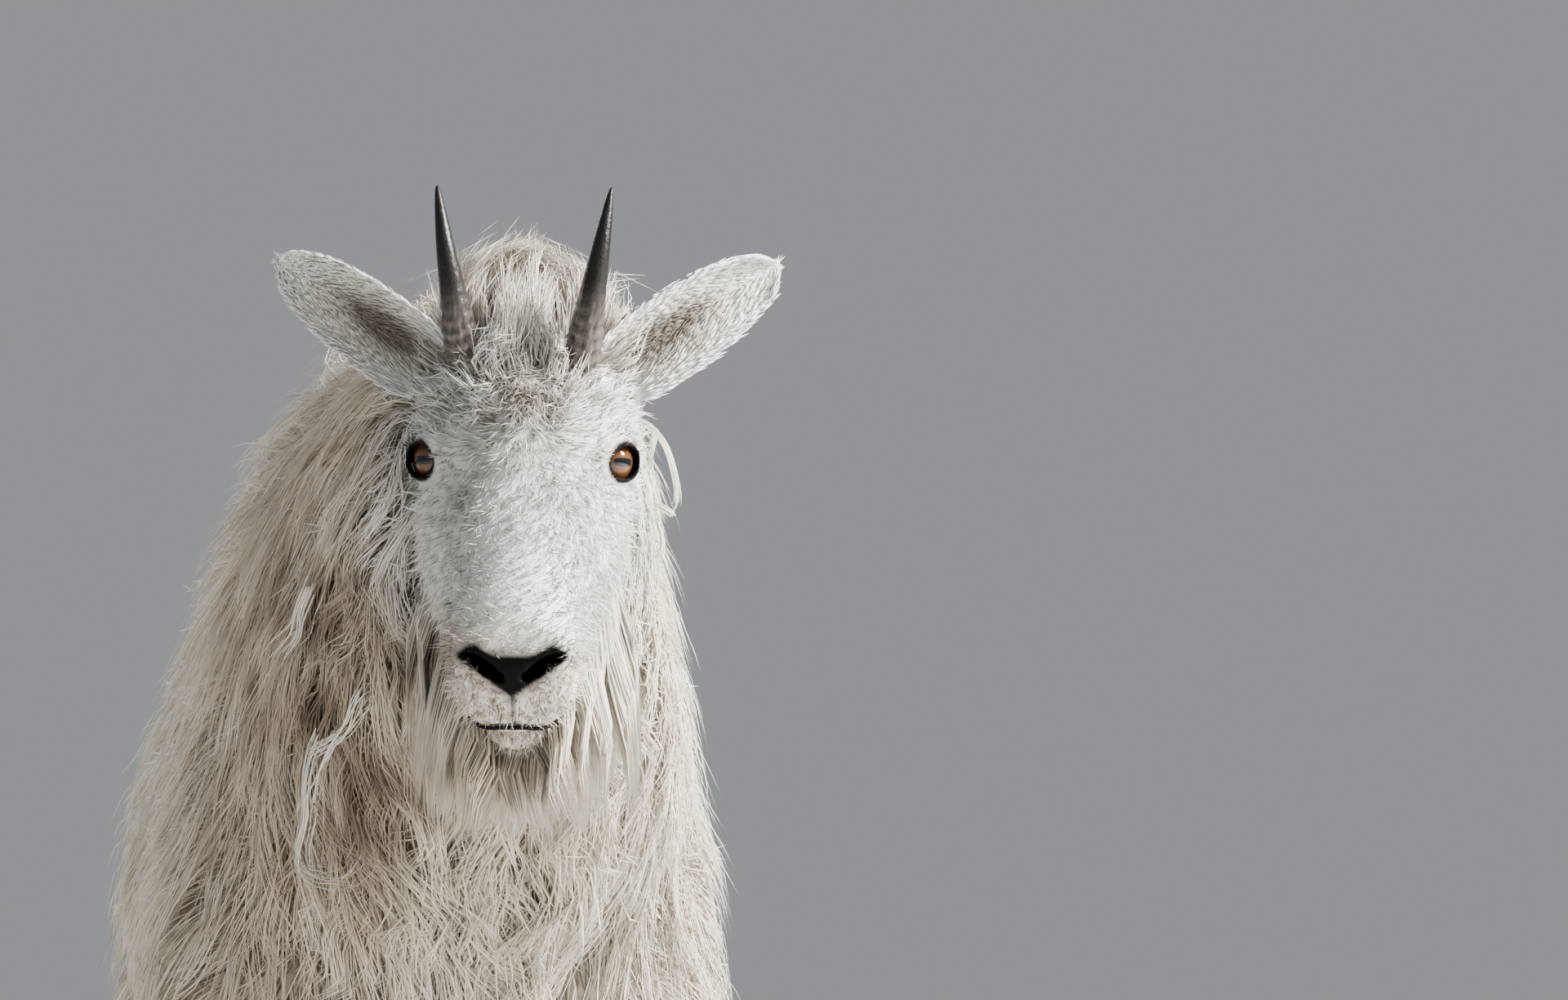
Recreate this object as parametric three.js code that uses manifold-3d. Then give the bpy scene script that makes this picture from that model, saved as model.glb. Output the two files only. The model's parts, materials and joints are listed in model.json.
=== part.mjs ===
// A mountain goat of about two years in its shedding winter coat, standing square with its head
// held level with the withers, at life size. Millimetres, +Z up; it faces -Y, its left side is +X.
import * as THREE from "three";
import { LoftGeometry } from "three/addons/geometries/LoftGeometry.js";
import { mergeVertices } from "three/addons/utils/BufferGeometryUtils.js";
import Module from "manifold-3d";

const wasm = await Module();
wasm.setup();

// Driving dimensions
const GAP = 0.3; // between neighbouring pieces
const HEAD_AT = [30, -470, 760]; // midpoint between the eyes
const HEAD_PITCH = 45.5; // nose below the horizon, degrees
const HEAD_YAW = -6; // nose towards the animal's right
const HEAD_ROLL = 1;
const EYE_AT = [48.5, 3, 6]; // of the left eye in the head's frame: side, forward, up
const EYE_R = 14.5;
const LID_R = 17.4;
const EYE_OUT = 50; // the eye's axis, degrees from forward to the side
const EYE_UP = 26;
const OPENING = [26, 21]; // length and height of the lid opening
const HORN_R = 12.5;
const EAR_THICK = 5;
const KNEE_Z = 262;
const HOCK_Z = 300;
const CORONET_Z = 42;
const DEWCLAW_Z = 78;
const DEWCLAW = [7, 9, 13]; // half its width, depth and height
const STAGGER = { fore_left: -14, fore_right: 16, hind_left: 18, hind_right: -16 }; // of the feet, along Y
const COAT = { trunk: 30, hump: 42, throat: 34, leg: 20, tail: 22, crown: 34, beard: 16 }; // from the core to the tips

// Tables of forms. Each row is a section: place along the form's axis, centre sideways and up,
// half width, height above and depth below the centre, and the low part's width over the high part's.
const TORSO = [
  [-205, 0, 602, 0, 0, 0, 1],
  [-160, 0, 600, 74, 100, 110, 1.1],
  [-85, 0, 612, 106, 172, 184, 1.3],
  [0, 0, 624, 120, 222, 224, 1.36],
  [80, 0, 628, 125, 226, 230, 1.36],
  [180, 0, 622, 129, 206, 228, 1.32],
  [320, 0, 612, 138, 175, 216, 1.26],
  [460, 0, 610, 142, 160, 194, 1.18],
  [590, 0, 614, 138, 152, 166, 1.1],
  [680, 0, 622, 108, 124, 127, 1],
  [732, 0, 630, 0, 0, 0, 1],
];
const NECK = [
  [-478, 30, 762, 0, 0, 0, 1],
  [-440, 30, 755, 58, 76, 84, 1],
  [-385, 28, 735, 76, 106, 122, 1.05],
  [-300, 22, 705, 88, 134, 152, 1.16],
  [-200, 15, 682, 98, 156, 176, 1.2],
  [-100, 8, 668, 106, 170, 184, 1.2],
  [0, 2, 655, 108, 172, 150, 1],
  [60, 0, 650, 0, 0, 0, 1],
];
const HEAD = [
  [-128, 0, -8, 0, 0, 0, 1],
  [-105, 0, -10, 46, 54, 58, 1],
  [-70, 0, -12, 58, 74, 80, 1],
  [-35, 0, -14, 62, 76, 84, 1],
  [0, 0, -16, 61.5, 69, 82, 1.02],
  [30, 0, -18, 57, 61, 74, 1.1],
  [65, 0, -19, 49.5, 52, 66, 1.14],
  [100, 0, -20, 41.5, 46, 58, 1.12],
  [130, 0, -21, 36.5, 41, 53, 1.06],
  [152, 0, -22, 34, 35, 45, 1.02],
  [168, 0, -23, 27, 24, 33, 1],
  [177, 0, -24, 0, 0, 0, 1],
];
const FORE_LEG = [
  [42, 100, 46, 27, 32, 25, 1],
  [62, 100, 40, 25, 28, 26, 1],
  [98, 100, 32, 27, 27, 31, 1],
  [175, 100, 27, 23, 25, 26, 1],
  [235, 100, 28, 29, 31, 31, 1],
  [270, 100, 30, 38, 41, 42, 1],
  [330, 100, 30, 52, 56, 58, 1],
  [400, 98, 28, 60, 68, 72, 1],
  [480, 92, 20, 60, 78, 82, 1],
  [570, 80, 10, 48, 78, 82, 1],
  [660, 68, 0, 0, 0, 0, 1],
];
const HIND_LEG = [
  [42, 98, -642, 27, 32, 25, 1],
  [62, 98, -650, 25, 28, 27, 1],
  [98, 98, -660, 27, 28, 32, 1],
  [180, 99, -668, 24, 26, 28, 1],
  [255, 100, -672, 29, 31, 37, 1],
  [300, 101, -668, 36, 39, 49, 1],
  [350, 102, -648, 47, 57, 60, 1],
  [420, 100, -618, 57, 80, 84, 1],
  [500, 94, -598, 60, 96, 96, 1],
  [590, 78, -592, 54, 98, 96, 1],
  [680, 66, -596, 0, 0, 0, 1],
];
const TAIL = [
  [598, 0, -778, 0, 0, 0, 1],
  [618, 0, -772, 16, 11, 12, 1],
  [660, 0, -752, 21, 14, 15, 1],
  [705, 0, -722, 22, 18, 18, 1],
  [735, 0, -690, 0, 0, 0, 1],
];
const BEARD = [
  [-210, 0, 44, 0, 0, 0, 1],
  [-194, 0, 42, 24, 12, 14, 1],
  [-170, 0, 36, 38, 22, 24, 1],
  [-140, 0, 26, 48, 32, 34, 1],
  [-108, 0, 12, 54, 34, 36, 1],
  [-72, 0, 0, 42, 28, 30, 1],
  [-50, 0, 0, 0, 0, 0, 1],
];

const rad = THREE.MathUtils.degToRad;
const clamp = THREE.MathUtils.clamp;
const vec = (x, y, z) => new THREE.Vector3(x, y, z);

// Cubic through the rows' values at a place along the axis.
function through(rows, place, value) {
  let i = 1;
  while (i < rows.length - 1 && place > rows[i][0]) i++;
  const step = rows[i][0] - rows[i - 1][0];
  const u = clamp((place - rows[i - 1][0]) / step, 0, 1);
  const slope = (k) => {
    const before = rows[Math.max(k - 1, 0)];
    const after = rows[Math.min(k + 1, rows.length - 1)];
    return ((value(after) - value(before)) / (after[0] - before[0])) * step;
  };
  const [a, b] = [value(rows[i - 1]), value(rows[i])];
  const u2 = u * u;
  const u3 = u2 * u;
  return a * (2 * u3 - 3 * u2 + 1) + slope(i - 1) * (u3 - 2 * u2 + u) + b * (3 * u2 - 2 * u3) + slope(i) * (u3 - u2);
}

// A section's centre and sizes. Squares of sizes run straight to an end, which rounds it.
function section(rows, place) {
  const size = (k) => Math.sqrt(Math.max(through(rows, place, (r) => r[k] * r[k]), 0));
  return {
    side: through(rows, place, (r) => r[1]),
    up: through(rows, place, (r) => r[2]),
    wide: size(3),
    high: size(4),
    deep: size(5),
    low: through(rows, place, (r) => r[6]),
  };
}

// A form is a table with the frame that its sections stand in: side, along and up.
const upright = new THREE.Matrix4();
const legFrame = new THREE.Matrix4().makeBasis(vec(1, 0, 0), vec(0, 0, 1), vec(0, -1, 0));
const headPlace = new THREE.Matrix4().compose(
  vec(...HEAD_AT),
  new THREE.Quaternion().setFromEuler(new THREE.Euler(rad(HEAD_PITCH), rad(HEAD_ROLL), rad(HEAD_YAW), "ZXY")),
  vec(1, 1, 1),
);
const headFrame = headPlace.clone().multiply(new THREE.Matrix4().makeBasis(vec(-1, 0, 0), vec(0, -1, 0), vec(0, 0, 1)));
const beardFrame = new THREE.Matrix4()
  .makeTranslation(headPlace.elements[12], headPlace.elements[13], headPlace.elements[14])
  .multiply(new THREE.Matrix4().makeRotationZ(rad(HEAD_YAW)))
  .multiply(legFrame);

const SQUARE = 2.25; // the sections' exponent; 2 is an ellipse
const TORSO_TAPER = 0.25; // how much narrower a section gets towards its top

function form(rows, frame, mirror = 1, along = 0, taper = 0) {
  const placed = rows.map((r) => [r[0], r[1] * mirror, r[2] - along * clamp(1 - (r[0] - CORONET_Z) / 400, 0, 1), ...r.slice(3)]);
  return { rows: placed, frame, back: frame.clone().invert(), taper };
}

function lowWidth(s, low, taper) {
  return s < 0 ? 1 + (low - 1) * Math.min(1, -1.6 * s) : 1 - taper * s;
}

function surfacePoint(f, place, angle, grow = 0) {
  const s = section(f.rows, place);
  const c = Math.cos(angle);
  const h = Math.sin(angle);
  const across = Math.sign(c) * Math.abs(c) ** (2 / SQUARE);
  const rise = Math.sign(h) * Math.abs(h) ** (2 / SQUARE);
  const x = (s.wide + grow) * across * lowWidth(rise, s.low, f.taper);
  const z = ((h > 0 ? s.high : s.deep) + grow) * rise;
  return vec(s.side + x, place, s.up + z).applyMatrix4(f.frame);
}

// Closed body of a form, with its rings closer together near the round ends.
function bodyOf(f, sides, rings, grow = 0) {
  const from = f.rows[0][0];
  const to = f.rows.at(-1)[0];
  const roundStart = f.rows[0][3] === 0;
  const sections = [];
  for (let i = 0; i <= rings; i++) {
    const even = i / rings;
    const t = roundStart ? (1 - Math.cos(Math.PI * even)) / 2 : Math.sin((Math.PI / 2) * even);
    const ease = THREE.MathUtils.lerp(even, t, 0.55);
    const end = (i === 0 ? -1 : i === rings ? 1 : 0) * grow;
    const place = from + (to - from) * clamp(ease, 0.0015, 0.9985);
    const ring = [];
    for (let j = 0; j < sides; j++) {
      const point = surfacePoint(f, place, (-2 * Math.PI * j) / sides, grow);
      if (end) point.add(vec(0, end, 0).transformDirection(f.frame).multiplyScalar(grow));
      ring.push(point);
    }
    sections.push(ring);
  }
  return loft(sections);
}

// manifold-3d solid of a closed geometry, and back
function solid(geometry, matrix) {
  const bare = geometry.index ? geometry.toNonIndexed() : geometry.clone();
  bare.deleteAttribute("normal");
  bare.deleteAttribute("uv");
  if (matrix) bare.applyMatrix4(matrix);
  const merged = mergeVertices(bare, 1e-3);
  return new wasm.Manifold(
    new wasm.Mesh({
      numProp: 3,
      vertProperties: merged.attributes.position.array,
      triVerts: new Uint32Array(merged.index.array),
    }),
  );
}

// Closed loft through rings of points, wound so that its walls face outwards
function loft(sections) {
  const middle = Math.floor(sections.length / 2) - 1;
  const ring = sections[middle];
  const centre = (points) => points.reduce((sum, p) => sum.add(p), vec(0, 0, 0)).divideScalar(points.length);
  const normal = vec(0, 0, 0);
  ring.forEach((p, k) => normal.add(new THREE.Vector3().crossVectors(p, ring[(k + 1) % ring.length])));
  const onward = centre(sections[middle + 1]).sub(centre(ring));
  const wound = normal.dot(onward) < 0 ? sections.map((points) => [...points].reverse()) : sections;
  return solid(new LoftGeometry(wound, { capStart: true, capEnd: true }));
}

const joined = (solids) => wasm.Manifold.union(solids.filter(Boolean));

function largest(made) {
  return made.decompose().reduce((a, b) => (b.volume() > a.volume() ? b : a));
}

function without(made, cutters) {
  return cutters.filter(Boolean).reduce((rest, cutter) => rest.subtract(cutter), made);
}

const goat = new THREE.Group();
const COLOURS = {
  coat: [0xe9e2d3, 0.9],
  face: [0xeeebe4, 0.85],
  horn: [0x2a2724, 0.45],
  hoof: [0x26221f, 0.6],
  eye: [0x6b3a16, 0.1],
};
function add(name, made, look) {
  const mesh = largest(largest(made).simplify(0.06)).getMesh();
  const points = new Float32Array(mesh.numVert * 3);
  for (let i = 0; i < mesh.numVert; i++) {
    points.set(mesh.vertProperties.subarray(i * mesh.numProp, i * mesh.numProp + 3), i * 3);
  }
  const geometry = new THREE.BufferGeometry()
    .setAttribute("position", new THREE.BufferAttribute(points, 3))
    .setIndex(new THREE.BufferAttribute(mesh.triVerts, 1));
  geometry.computeVertexNormals();
  const [color, roughness] = COLOURS[look];
  const piece = new THREE.Mesh(geometry, new THREE.MeshStandardMaterial({ color, roughness, metalness: 0 }));
  piece.name = name;
  goat.add(piece);
}

// Forms of the flesh
const torso = form(TORSO, upright, 1, 0, TORSO_TAPER);
const neck = form(NECK, upright, 1, 0, TORSO_TAPER / 2);
const head = form(HEAD, headFrame);
const tail = form(TAIL, legFrame);
const beard = form(BEARD, beardFrame);
const legs = Object.entries(STAGGER).map(([name, along]) => {
  const fore = name.startsWith("fore");
  const rows = fore ? FORE_LEG : HIND_LEG;
  return { name, fore, side: name.endsWith("left") ? 1 : -1, along, ...form(rows, legFrame, name.endsWith("left") ? 1 : -1, along) };
});

// Rough distance of a point from a form's surface, less than 0 inside
function outside(f, point) {
  const p = point.clone().applyMatrix4(f.back);
  const place = clamp(p.y, f.rows[0][0] + 1, f.rows.at(-1)[0] - 1);
  const s = section(f.rows, place);
  const dx = p.x - s.side;
  const dz = p.z - s.up;
  const h = Math.max(dz > 0 ? s.high : s.deep, 1);
  const w = Math.max(s.wide * lowWidth(clamp(dz / h, -2, 2), s.low, f.taper), 1);
  const ratio = Math.max((Math.abs(dx / w) ** SQUARE + Math.abs(dz / h) ** SQUARE) ** (1 / SQUARE), 0.02);
  const radial = Math.hypot(dx, dz) * (1 - 1 / ratio) - (ratio <= 0.02 ? Math.min(w, h) : 0);
  return p.y === place ? radial : Math.hypot(Math.max(radial, 0), p.y - place);
}

const BLEND = 30;
function fromCore(forms, point) {
  return forms.map((f) => outside(f, point)).reduce((a, b) => {
    const h = Math.max(BLEND - Math.abs(a - b), 0) / BLEND;
    return Math.min(a, b) - (h * h * BLEND) / 4;
  });
}

function rise(forms, point) {
  const step = 1.5;
  const along = (x, y, z) =>
    (fromCore(forms, point.clone().add(vec(x, y, z))) - fromCore(forms, point.clone().sub(vec(x, y, z)))) / (2 * step);
  return vec(along(step, 0, 0), along(0, step, 0), along(0, 0, step));
}

function settle(forms, point, height) {
  for (let k = 0; k < 4; k++) {
    const g = rise(forms, point);
    const move = ((fromCore(forms, point) - height) / Math.max(g.lengthSq(), 0.2)) * 0.9;
    point.addScaledVector(g, -clamp(move, -25, 25));
  }
  return point;
}

// Seeded random numbers from 0 to 1
function dice(seed) {
  let state = seed;
  return () => {
    state = (state * 1664525 + 1013904223) % 4294967296;
    return state / 4294967296;
  };
}

// A lock's three-cornered section: flat below, ridged above, with its faces moved out by the gap
function wedge(at, side, out, half, thick, grow) {
  const slant = Math.hypot(half, thick);
  const reach = half + (grow * (slant + half)) / thick;
  return [
    at.clone().addScaledVector(side, -reach).addScaledVector(out, -0.3 * thick - grow),
    at.clone().addScaledVector(side, reach).addScaledVector(out, -0.3 * thick - grow),
    at.clone().addScaledVector(out, 0.7 * thick + (grow * slant) / half),
  ];
}

// A flat tapered lock: it leaves the core below its surface, runs along the lie and ends at its tip height.
const LOCK_STEPS = [0, 0.36, 0.7];
const LOCK_WIDTHS = [0.8, 1, 0.72];
const ROOT_SUNK = 12;
function lock({ forms, root, lie, long, wide, thick, tip, sweep = 0, loose = 0 }, grow = 0) {
  const path = [settle(forms, root.clone(), -ROOT_SUNK)];
  let here = settle(forms, root.clone(), 0);
  const rests = [...LOCK_STEPS.slice(1), 1];
  let before = 0;
  for (const s of rests) {
    const normal = rise(forms, here).normalize();
    const way = lie(here, normal).addScaledVector(vec(0, 0, -1), loose * s);
    way.addScaledVector(normal, -way.dot(normal)).normalize();
    way.addScaledVector(new THREE.Vector3().crossVectors(normal, way), sweep * s).normalize();
    here = here.clone().addScaledVector(way, long * (s - before));
    const height = tip * Math.sin((Math.PI / 2) * Math.min(1, 0.25 + 0.8 * s));
    here = settle(forms, here, height);
    path.push(here.clone());
    before = s;
  }
  path[0].addScaledVector(path[1].clone().sub(path[0]).normalize(), -grow * 4);
  const sections = LOCK_STEPS.map((s, i) => {
    const normal = rise(forms, path[i]).normalize();
    const tangent = path[i + 1].clone().sub(path[i]).normalize();
    const side = new THREE.Vector3().crossVectors(tangent, normal).normalize();
    const out = new THREE.Vector3().crossVectors(side, tangent).normalize();
    return wedge(path[i], side, out, (wide / 2) * LOCK_WIDTHS[i], thick * LOCK_WIDTHS[i], grow);
  });
  const end = path.at(-1);
  const last = path.at(-2);
  const point = end.clone().addScaledVector(end.clone().sub(last).normalize(), grow * 10);
  const normal = rise(forms, end).normalize();
  const side = new THREE.Vector3().crossVectors(point.clone().sub(last), normal).normalize();
  sections.push(wedge(point, side, normal, 0.4, 0.8, grow));
  return loft(sections);
}

// Roots of locks scattered over a form, outside the other forms
function scatter(f, others, { from, to, rows, across }, roll) {
  const roots = [];
  for (let i = 0; i < rows; i++) {
    for (let j = 0; j < across; j++) {
      const place = from + ((to - from) * (i + 0.5 + 0.6 * (roll() - 0.5))) / rows;
      const angle = (2 * Math.PI * (j + 0.5 * (i % 2) + 0.6 * (roll() - 0.5))) / across;
      const root = surfacePoint(f, place, angle);
      if (others.every((o) => o === f || outside(o, root) > 4)) roots.push(root);
    }
  }
  return roots;
}

// Flesh cut into its parts by planes with a thin gap
const SHOULDER_CUT = { normal: vec(0, 440, -210).normalize(), at: vec(0, -120, 640) };
const LOIN_CUT = { normal: vec(0, 1, 0), at: vec(0, 215, 0) };
const RUMP_CUT = { normal: vec(0, 1, 0), at: vec(0, 470, 0) };
function behind(made, cut) {
  const offset = cut.normal.dot(cut.at) + GAP / 2;
  return made.trimByPlane(cut.normal.toArray(), offset);
}
function ahead(made, cut) {
  const offset = -(cut.normal.dot(cut.at) - GAP / 2);
  return made.trimByPlane(cut.normal.clone().negate().toArray(), offset);
}
const isAhead = (point, cut) => cut.normal.dot(point.clone().sub(cut.at)) < 0;

function trunkOf(grow) {
  return joined([bodyOf(torso, 22, 14, grow), bodyOf(neck, 20, 11, grow)]);
}
const trunk = trunkOf(0);
const trunkFat = trunkOf(GAP);

// Head: its core with eye sockets, lids, nostrils and the line of the mouth
const headCore = bodyOf(head, 24, 17);
const headFat = bodyOf(head, 24, 17, GAP);

function inHead(side, forward, up) {
  return vec(side, -forward, up).applyMatrix4(headPlace);
}

function eyeFrame(mirror) {
  const axis = vec(
    mirror * Math.sin(rad(EYE_OUT)) * Math.cos(rad(EYE_UP)),
    -Math.cos(rad(EYE_OUT)) * Math.cos(rad(EYE_UP)),
    Math.sin(rad(EYE_UP)),
  );
  const along = new THREE.Vector3().crossVectors(vec(0, 0, 1), axis).normalize();
  const up = new THREE.Vector3().crossVectors(axis, along);
  return headPlace
    .clone()
    .multiply(new THREE.Matrix4().makeTranslation(mirror * EYE_AT[0], -EYE_AT[1], EYE_AT[2]))
    .multiply(new THREE.Matrix4().makeBasis(along, up, axis));
}

function ball(radius, frame, across = 18, down = 11) {
  return solid(new THREE.SphereGeometry(radius, across, down), frame);
}

function lidOpening(frame, grow = 0) {
  const [long, high] = OPENING.map((size) => size / 2 + grow);
  const almond = new THREE.Shape();
  almond.moveTo(-long, 0);
  almond.quadraticCurveTo(-long * 0.75, high, 0, high);
  almond.quadraticCurveTo(long * 0.75, high, long, 0);
  almond.quadraticCurveTo(long * 0.7, -high * 0.95, 0, -high * 0.95);
  almond.quadraticCurveTo(-long * 0.7, -high * 0.95, -long, 0);
  const cut = new THREE.ExtrudeGeometry(almond, { depth: LID_R * 2, bevelEnabled: false, curveSegments: 4 });
  return solid(cut, frame.clone().multiply(new THREE.Matrix4().makeTranslation(0, 0, EYE_R * 0.3)));
}

// Nostril: a slanted comma-shaped slit from the middle of the nose up and out
function nostril(mirror) {
  const slit = new THREE.CatmullRomCurve3([vec(8, 0, 16), vec(16, 2, 17), vec(24, 8, 18.5), vec(30, 16, 19.5)]);
  const sections = [0, 0.25, 0.5, 0.75, 1].map((t, i) => {
    const at = slit.getPoint(t);
    const half = [2.2, 4.2, 4.4, 3.4, 1.2][i];
    return [0, 1, 2, 3, 4, 5].map((k) => {
      const angle = (k / 6) * 2 * Math.PI;
      return inHead(mirror * at.x, 168 - at.y + 10 * Math.cos(angle), at.z - 24 + half * Math.sin(angle));
    });
  });
  return loft(sections);
}

// Line of the mouth: a thin curved plate that only reaches a little way into the lips
const MOUTH = { up: -47, back: 96, slit: 1.8, deep: 5 };
function mouthLine() {
  const plate = new THREE.BoxGeometry(110, 110, MOUTH.slit);
  const at = headPlace
    .clone()
    .multiply(new THREE.Matrix4().makeTranslation(0, -(MOUTH.back + 55), MOUTH.up))
    .multiply(new THREE.Matrix4().makeRotationX(rad(4)));
  return solid(plate, at).subtract(bodyOf(head, 24, 20, -MOUTH.deep));
}

const eyeFrames = { left: eyeFrame(1), right: eyeFrame(-1) };
let face = headCore.add(joined(Object.values(eyeFrames).map((frame) => ball(LID_R, frame, 14, 8))));
face = without(face, [
  ...Object.values(eyeFrames).map((frame) => ball(EYE_R + GAP, frame)),
  ...Object.values(eyeFrames).map((frame) => lidOpening(frame)),
  nostril(1),
  nostril(-1),
  mouthLine(),
]);

// Horns: round, rising from the brow and curving back, with low rings towards the base
function hornOf(mirror, grow = 0) {
  const line = new THREE.CatmullRomCurve3(
    [[31, -24, 30], [34, -26, 62], [39, -36, 92], [44.5, -54, 118], [50, -82, 140]].map(([x, f, u]) => vec(x * mirror, -f, u)),
  );
  const rings = 14;
  const sections = [];
  for (let i = 0; i <= rings; i++) {
    const t = i / rings;
    const at = line.getPoint(t);
    const tangent = line.getTangent(t);
    const side = new THREE.Vector3().crossVectors(tangent, vec(0, -1, 0)).normalize();
    const out = new THREE.Vector3().crossVectors(side, tangent);
    const ringed = t < 0.55 && i % 2 ? 0.7 : 0;
    const radius = HORN_R * (1 - t) ** 0.62 * (1 - 0.12 * t) + 0.5 + ringed + grow;
    const ring = [];
    for (let j = 0; j < 12; j++) {
      const angle = (-2 * Math.PI * j) / 12;
      ring.push(
        at.clone().addScaledVector(side, radius * Math.cos(angle)).addScaledVector(out, radius * 1.12 * Math.sin(angle)).applyMatrix4(headPlace),
      );
    }
    sections.push(ring);
  }
  return loft(sections);
}

// Ears: a leaf with a hollow front, from a narrow root to a round tip
const EAR_LINE = [[52, -50, 30], [72, -58, 44], [98, -72, 56], [122, -86, 64], [143, -98, 68]];
function earOf(mirror, grow = 0) {
  const line = new THREE.CatmullRomCurve3(EAR_LINE.map(([x, f, u]) => vec(x * mirror, -f, u)));
  const rings = 12;
  const around = 7;
  const sections = [];
  for (let i = 0; i <= rings; i++) {
    const t = i / rings;
    const at = line.getPoint(t);
    const tangent = line.getTangent(t);
    const faces = vec(mirror * -0.12, -0.9, 0.15);
    const front = faces.addScaledVector(tangent, -faces.dot(tangent)).normalize();
    const across = new THREE.Vector3().crossVectors(front, tangent).normalize().multiplyScalar(mirror);
    const half = 26 * Math.sin(Math.PI * Math.min(1, 0.30 + 0.66 * t)) ** 0.75 * (t > 0.97 ? 0.62 : 1) * (t < 0.12 ? 0.85 : 1) + grow;
    const cup = 15 * (1 - 0.62 * t);
    const shell = (depth, bend) => (k) => {
      const u = (2 * k) / (around - 1) - 1;
      return at
        .clone()
        .addScaledVector(across, half * bend * u)
        .addScaledVector(front, cup * u * u - depth * (1 - 0.75 * u * u));
    };
    const outer = Array.from({ length: around }, (_, k) => shell(EAR_THICK + grow, 1)(k));
    const inner = Array.from({ length: around }, (_, k) => shell(-grow - 0.4, 1)(around - 1 - k));
    sections.push([...outer, ...inner].map((p) => p.applyMatrix4(headPlace)));
  }
  return loft(sections);
}

const horns = {};
const ears = {};
for (const [side, mirror] of [["left", 1], ["right", -1]]) {
  horns[side] = largest(hornOf(mirror).subtract(headFat));
  ears[side] = largest(without(earOf(mirror), [headFat, hornOf(mirror, GAP)]));
  add(`horn_${side}`, horns[side], "horn");
  add(`ear_${side}`, ears[side], "face");
  add(`eye_${side}`, ball(EYE_R, eyeFrames[side]), "eye");
}

// Locks of the crown and the back of the cheeks, in the head's frame: back, and up or out
const between = (roll, low, high) => low + (high - low) * roll();
const headWay = (side, forward, up) => vec(side, -forward, up).transformDirection(headPlace);
function headLocks() {
  const roll = dice(11);
  const specs = [];
  for (let i = 0; i < 10; i++) {
    const side = ((i % 4) - 1.5) * 18 + between(roll, -4, 4);
    const forward = 10 - 34 * Math.floor(i / 4) + between(roll, -6, 6);
    const root = settle([head], inHead(side, forward, 50), 0);
    const lie = () => headWay(side * 0.022, -0.55, 0.9);
    specs.push({ forms: [head], root, lie, long: between(roll, 38, 56), wide: 26, thick: 12, tip: COAT.crown });
  }
  for (let i = 0; i < 9; i++) {
    const angle = Math.PI * (1.12 + (0.76 * (i + 0.5)) / 9) + (i % 2 ? 0.08 : -0.08);
    const root = settle([head], inHead(70 * Math.cos(angle), -46 - 18 * (i % 2), 20 + 90 * Math.sin(angle)), 0);
    const lie = () => headWay(0, -1, -0.35);
    specs.push({ forms: [head], root, lie, long: between(roll, 52, 74), wide: 40, thick: 13, tip: 15 });
  }
  return specs;
}

function beardLocks() {
  const roll = dice(12);
  return Array.from({ length: 10 }, (_, i) => {
    const angle = (2 * Math.PI * (i + between(roll, -0.2, 0.2))) / 10;
    const root = surfacePoint(beard, i % 2 ? -128 : -104, angle);
    const lie = () => vec(Math.cos(angle) * 0.25, -0.1, -1);
    return { forms: [beard], root, lie, long: between(roll, 58, 82), wide: 32, thick: 13, tip: COAT.beard };
  });
}

// Locks of the trunk lie back and down; on the chest and throat they hang
const blend = THREE.MathUtils.smoothstep;
function trunkLie(here, normal) {
  const chest = blend(-here.y, -20, 160);
  const top = blend(normal.z, 0.35, 0.9);
  const back = THREE.MathUtils.lerp(1, 0.35, chest * (1 - top));
  const down = THREE.MathUtils.lerp(0.75 + 0.5 * chest, -0.15, top);
  return vec(here.x * 0.0006, back, -down);
}

const flesh = [torso, neck, ...legs];
function trunkLocks() {
  const roll = dice(22);
  const onTorso = scatter(torso, flesh, { from: -150, to: 715, rows: 9, across: 9 }, roll);
  const onNeck = scatter(neck, flesh, { from: -462, to: -60, rows: 5, across: 9 }, roll);
  return [...onTorso, ...onNeck].map((root) => {
    const normal = rise(flesh, root).normalize();
    const hump = blend(normal.z, 0.5, 0.9) * blend(root.y, -480, -380) * (1 - blend(root.y, 160, 300));
    const throat = blend(-root.y, 40, 160) * blend(-normal.z, -0.2, 0.5);
    const tip = COAT.trunk + (COAT.hump - COAT.trunk) * hump + (COAT.throat - COAT.trunk) * throat;
    const slim = 1 - 0.3 * blend(-root.y, 200, 400);
    return {
      forms: flesh,
      root,
      lie: trunkLie,
      long: between(roll, 105, 150) * slim,
      wide: between(roll, 62, 92) * slim,
      thick: between(roll, 15, 21),
      tip: tip * between(roll, 0.8, 1.08),
      sweep: between(roll, -0.35, 0.35),
    };
  });
}

function legLocks(leg) {
  const roll = dice(20 + legs.indexOf(leg));
  const from = (leg.fore ? KNEE_Z : HOCK_Z) + 22;
  const roots = scatter(leg, [torso, neck], { from, to: leg.fore ? 500 : 540, rows: 3, across: 6 }, roll);
  return roots.map((root) => ({
    forms: flesh,
    root,
    lie: () => vec(0, leg.fore ? 0.12 : 0.28, -1),
    long: between(roll, 75, 112),
    wide: between(roll, 36, 52),
    thick: between(roll, 12, 16),
    tip: COAT.leg * between(roll, 0.8, 1.15),
    sweep: between(roll, -0.25, 0.25),
  }));
}

function tailLocks() {
  const roll = dice(31);
  return scatter(tail, [torso], { from: 612, to: 700, rows: 2, across: 4 }, roll).map((root) => ({
    forms: [tail],
    root,
    lie: () => vec(0, 0.3, -1),
    long: between(roll, 52, 70),
    wide: 26,
    thick: 10,
    tip: COAT.tail * between(roll, 0.6, 0.9),
  }));
}

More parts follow.
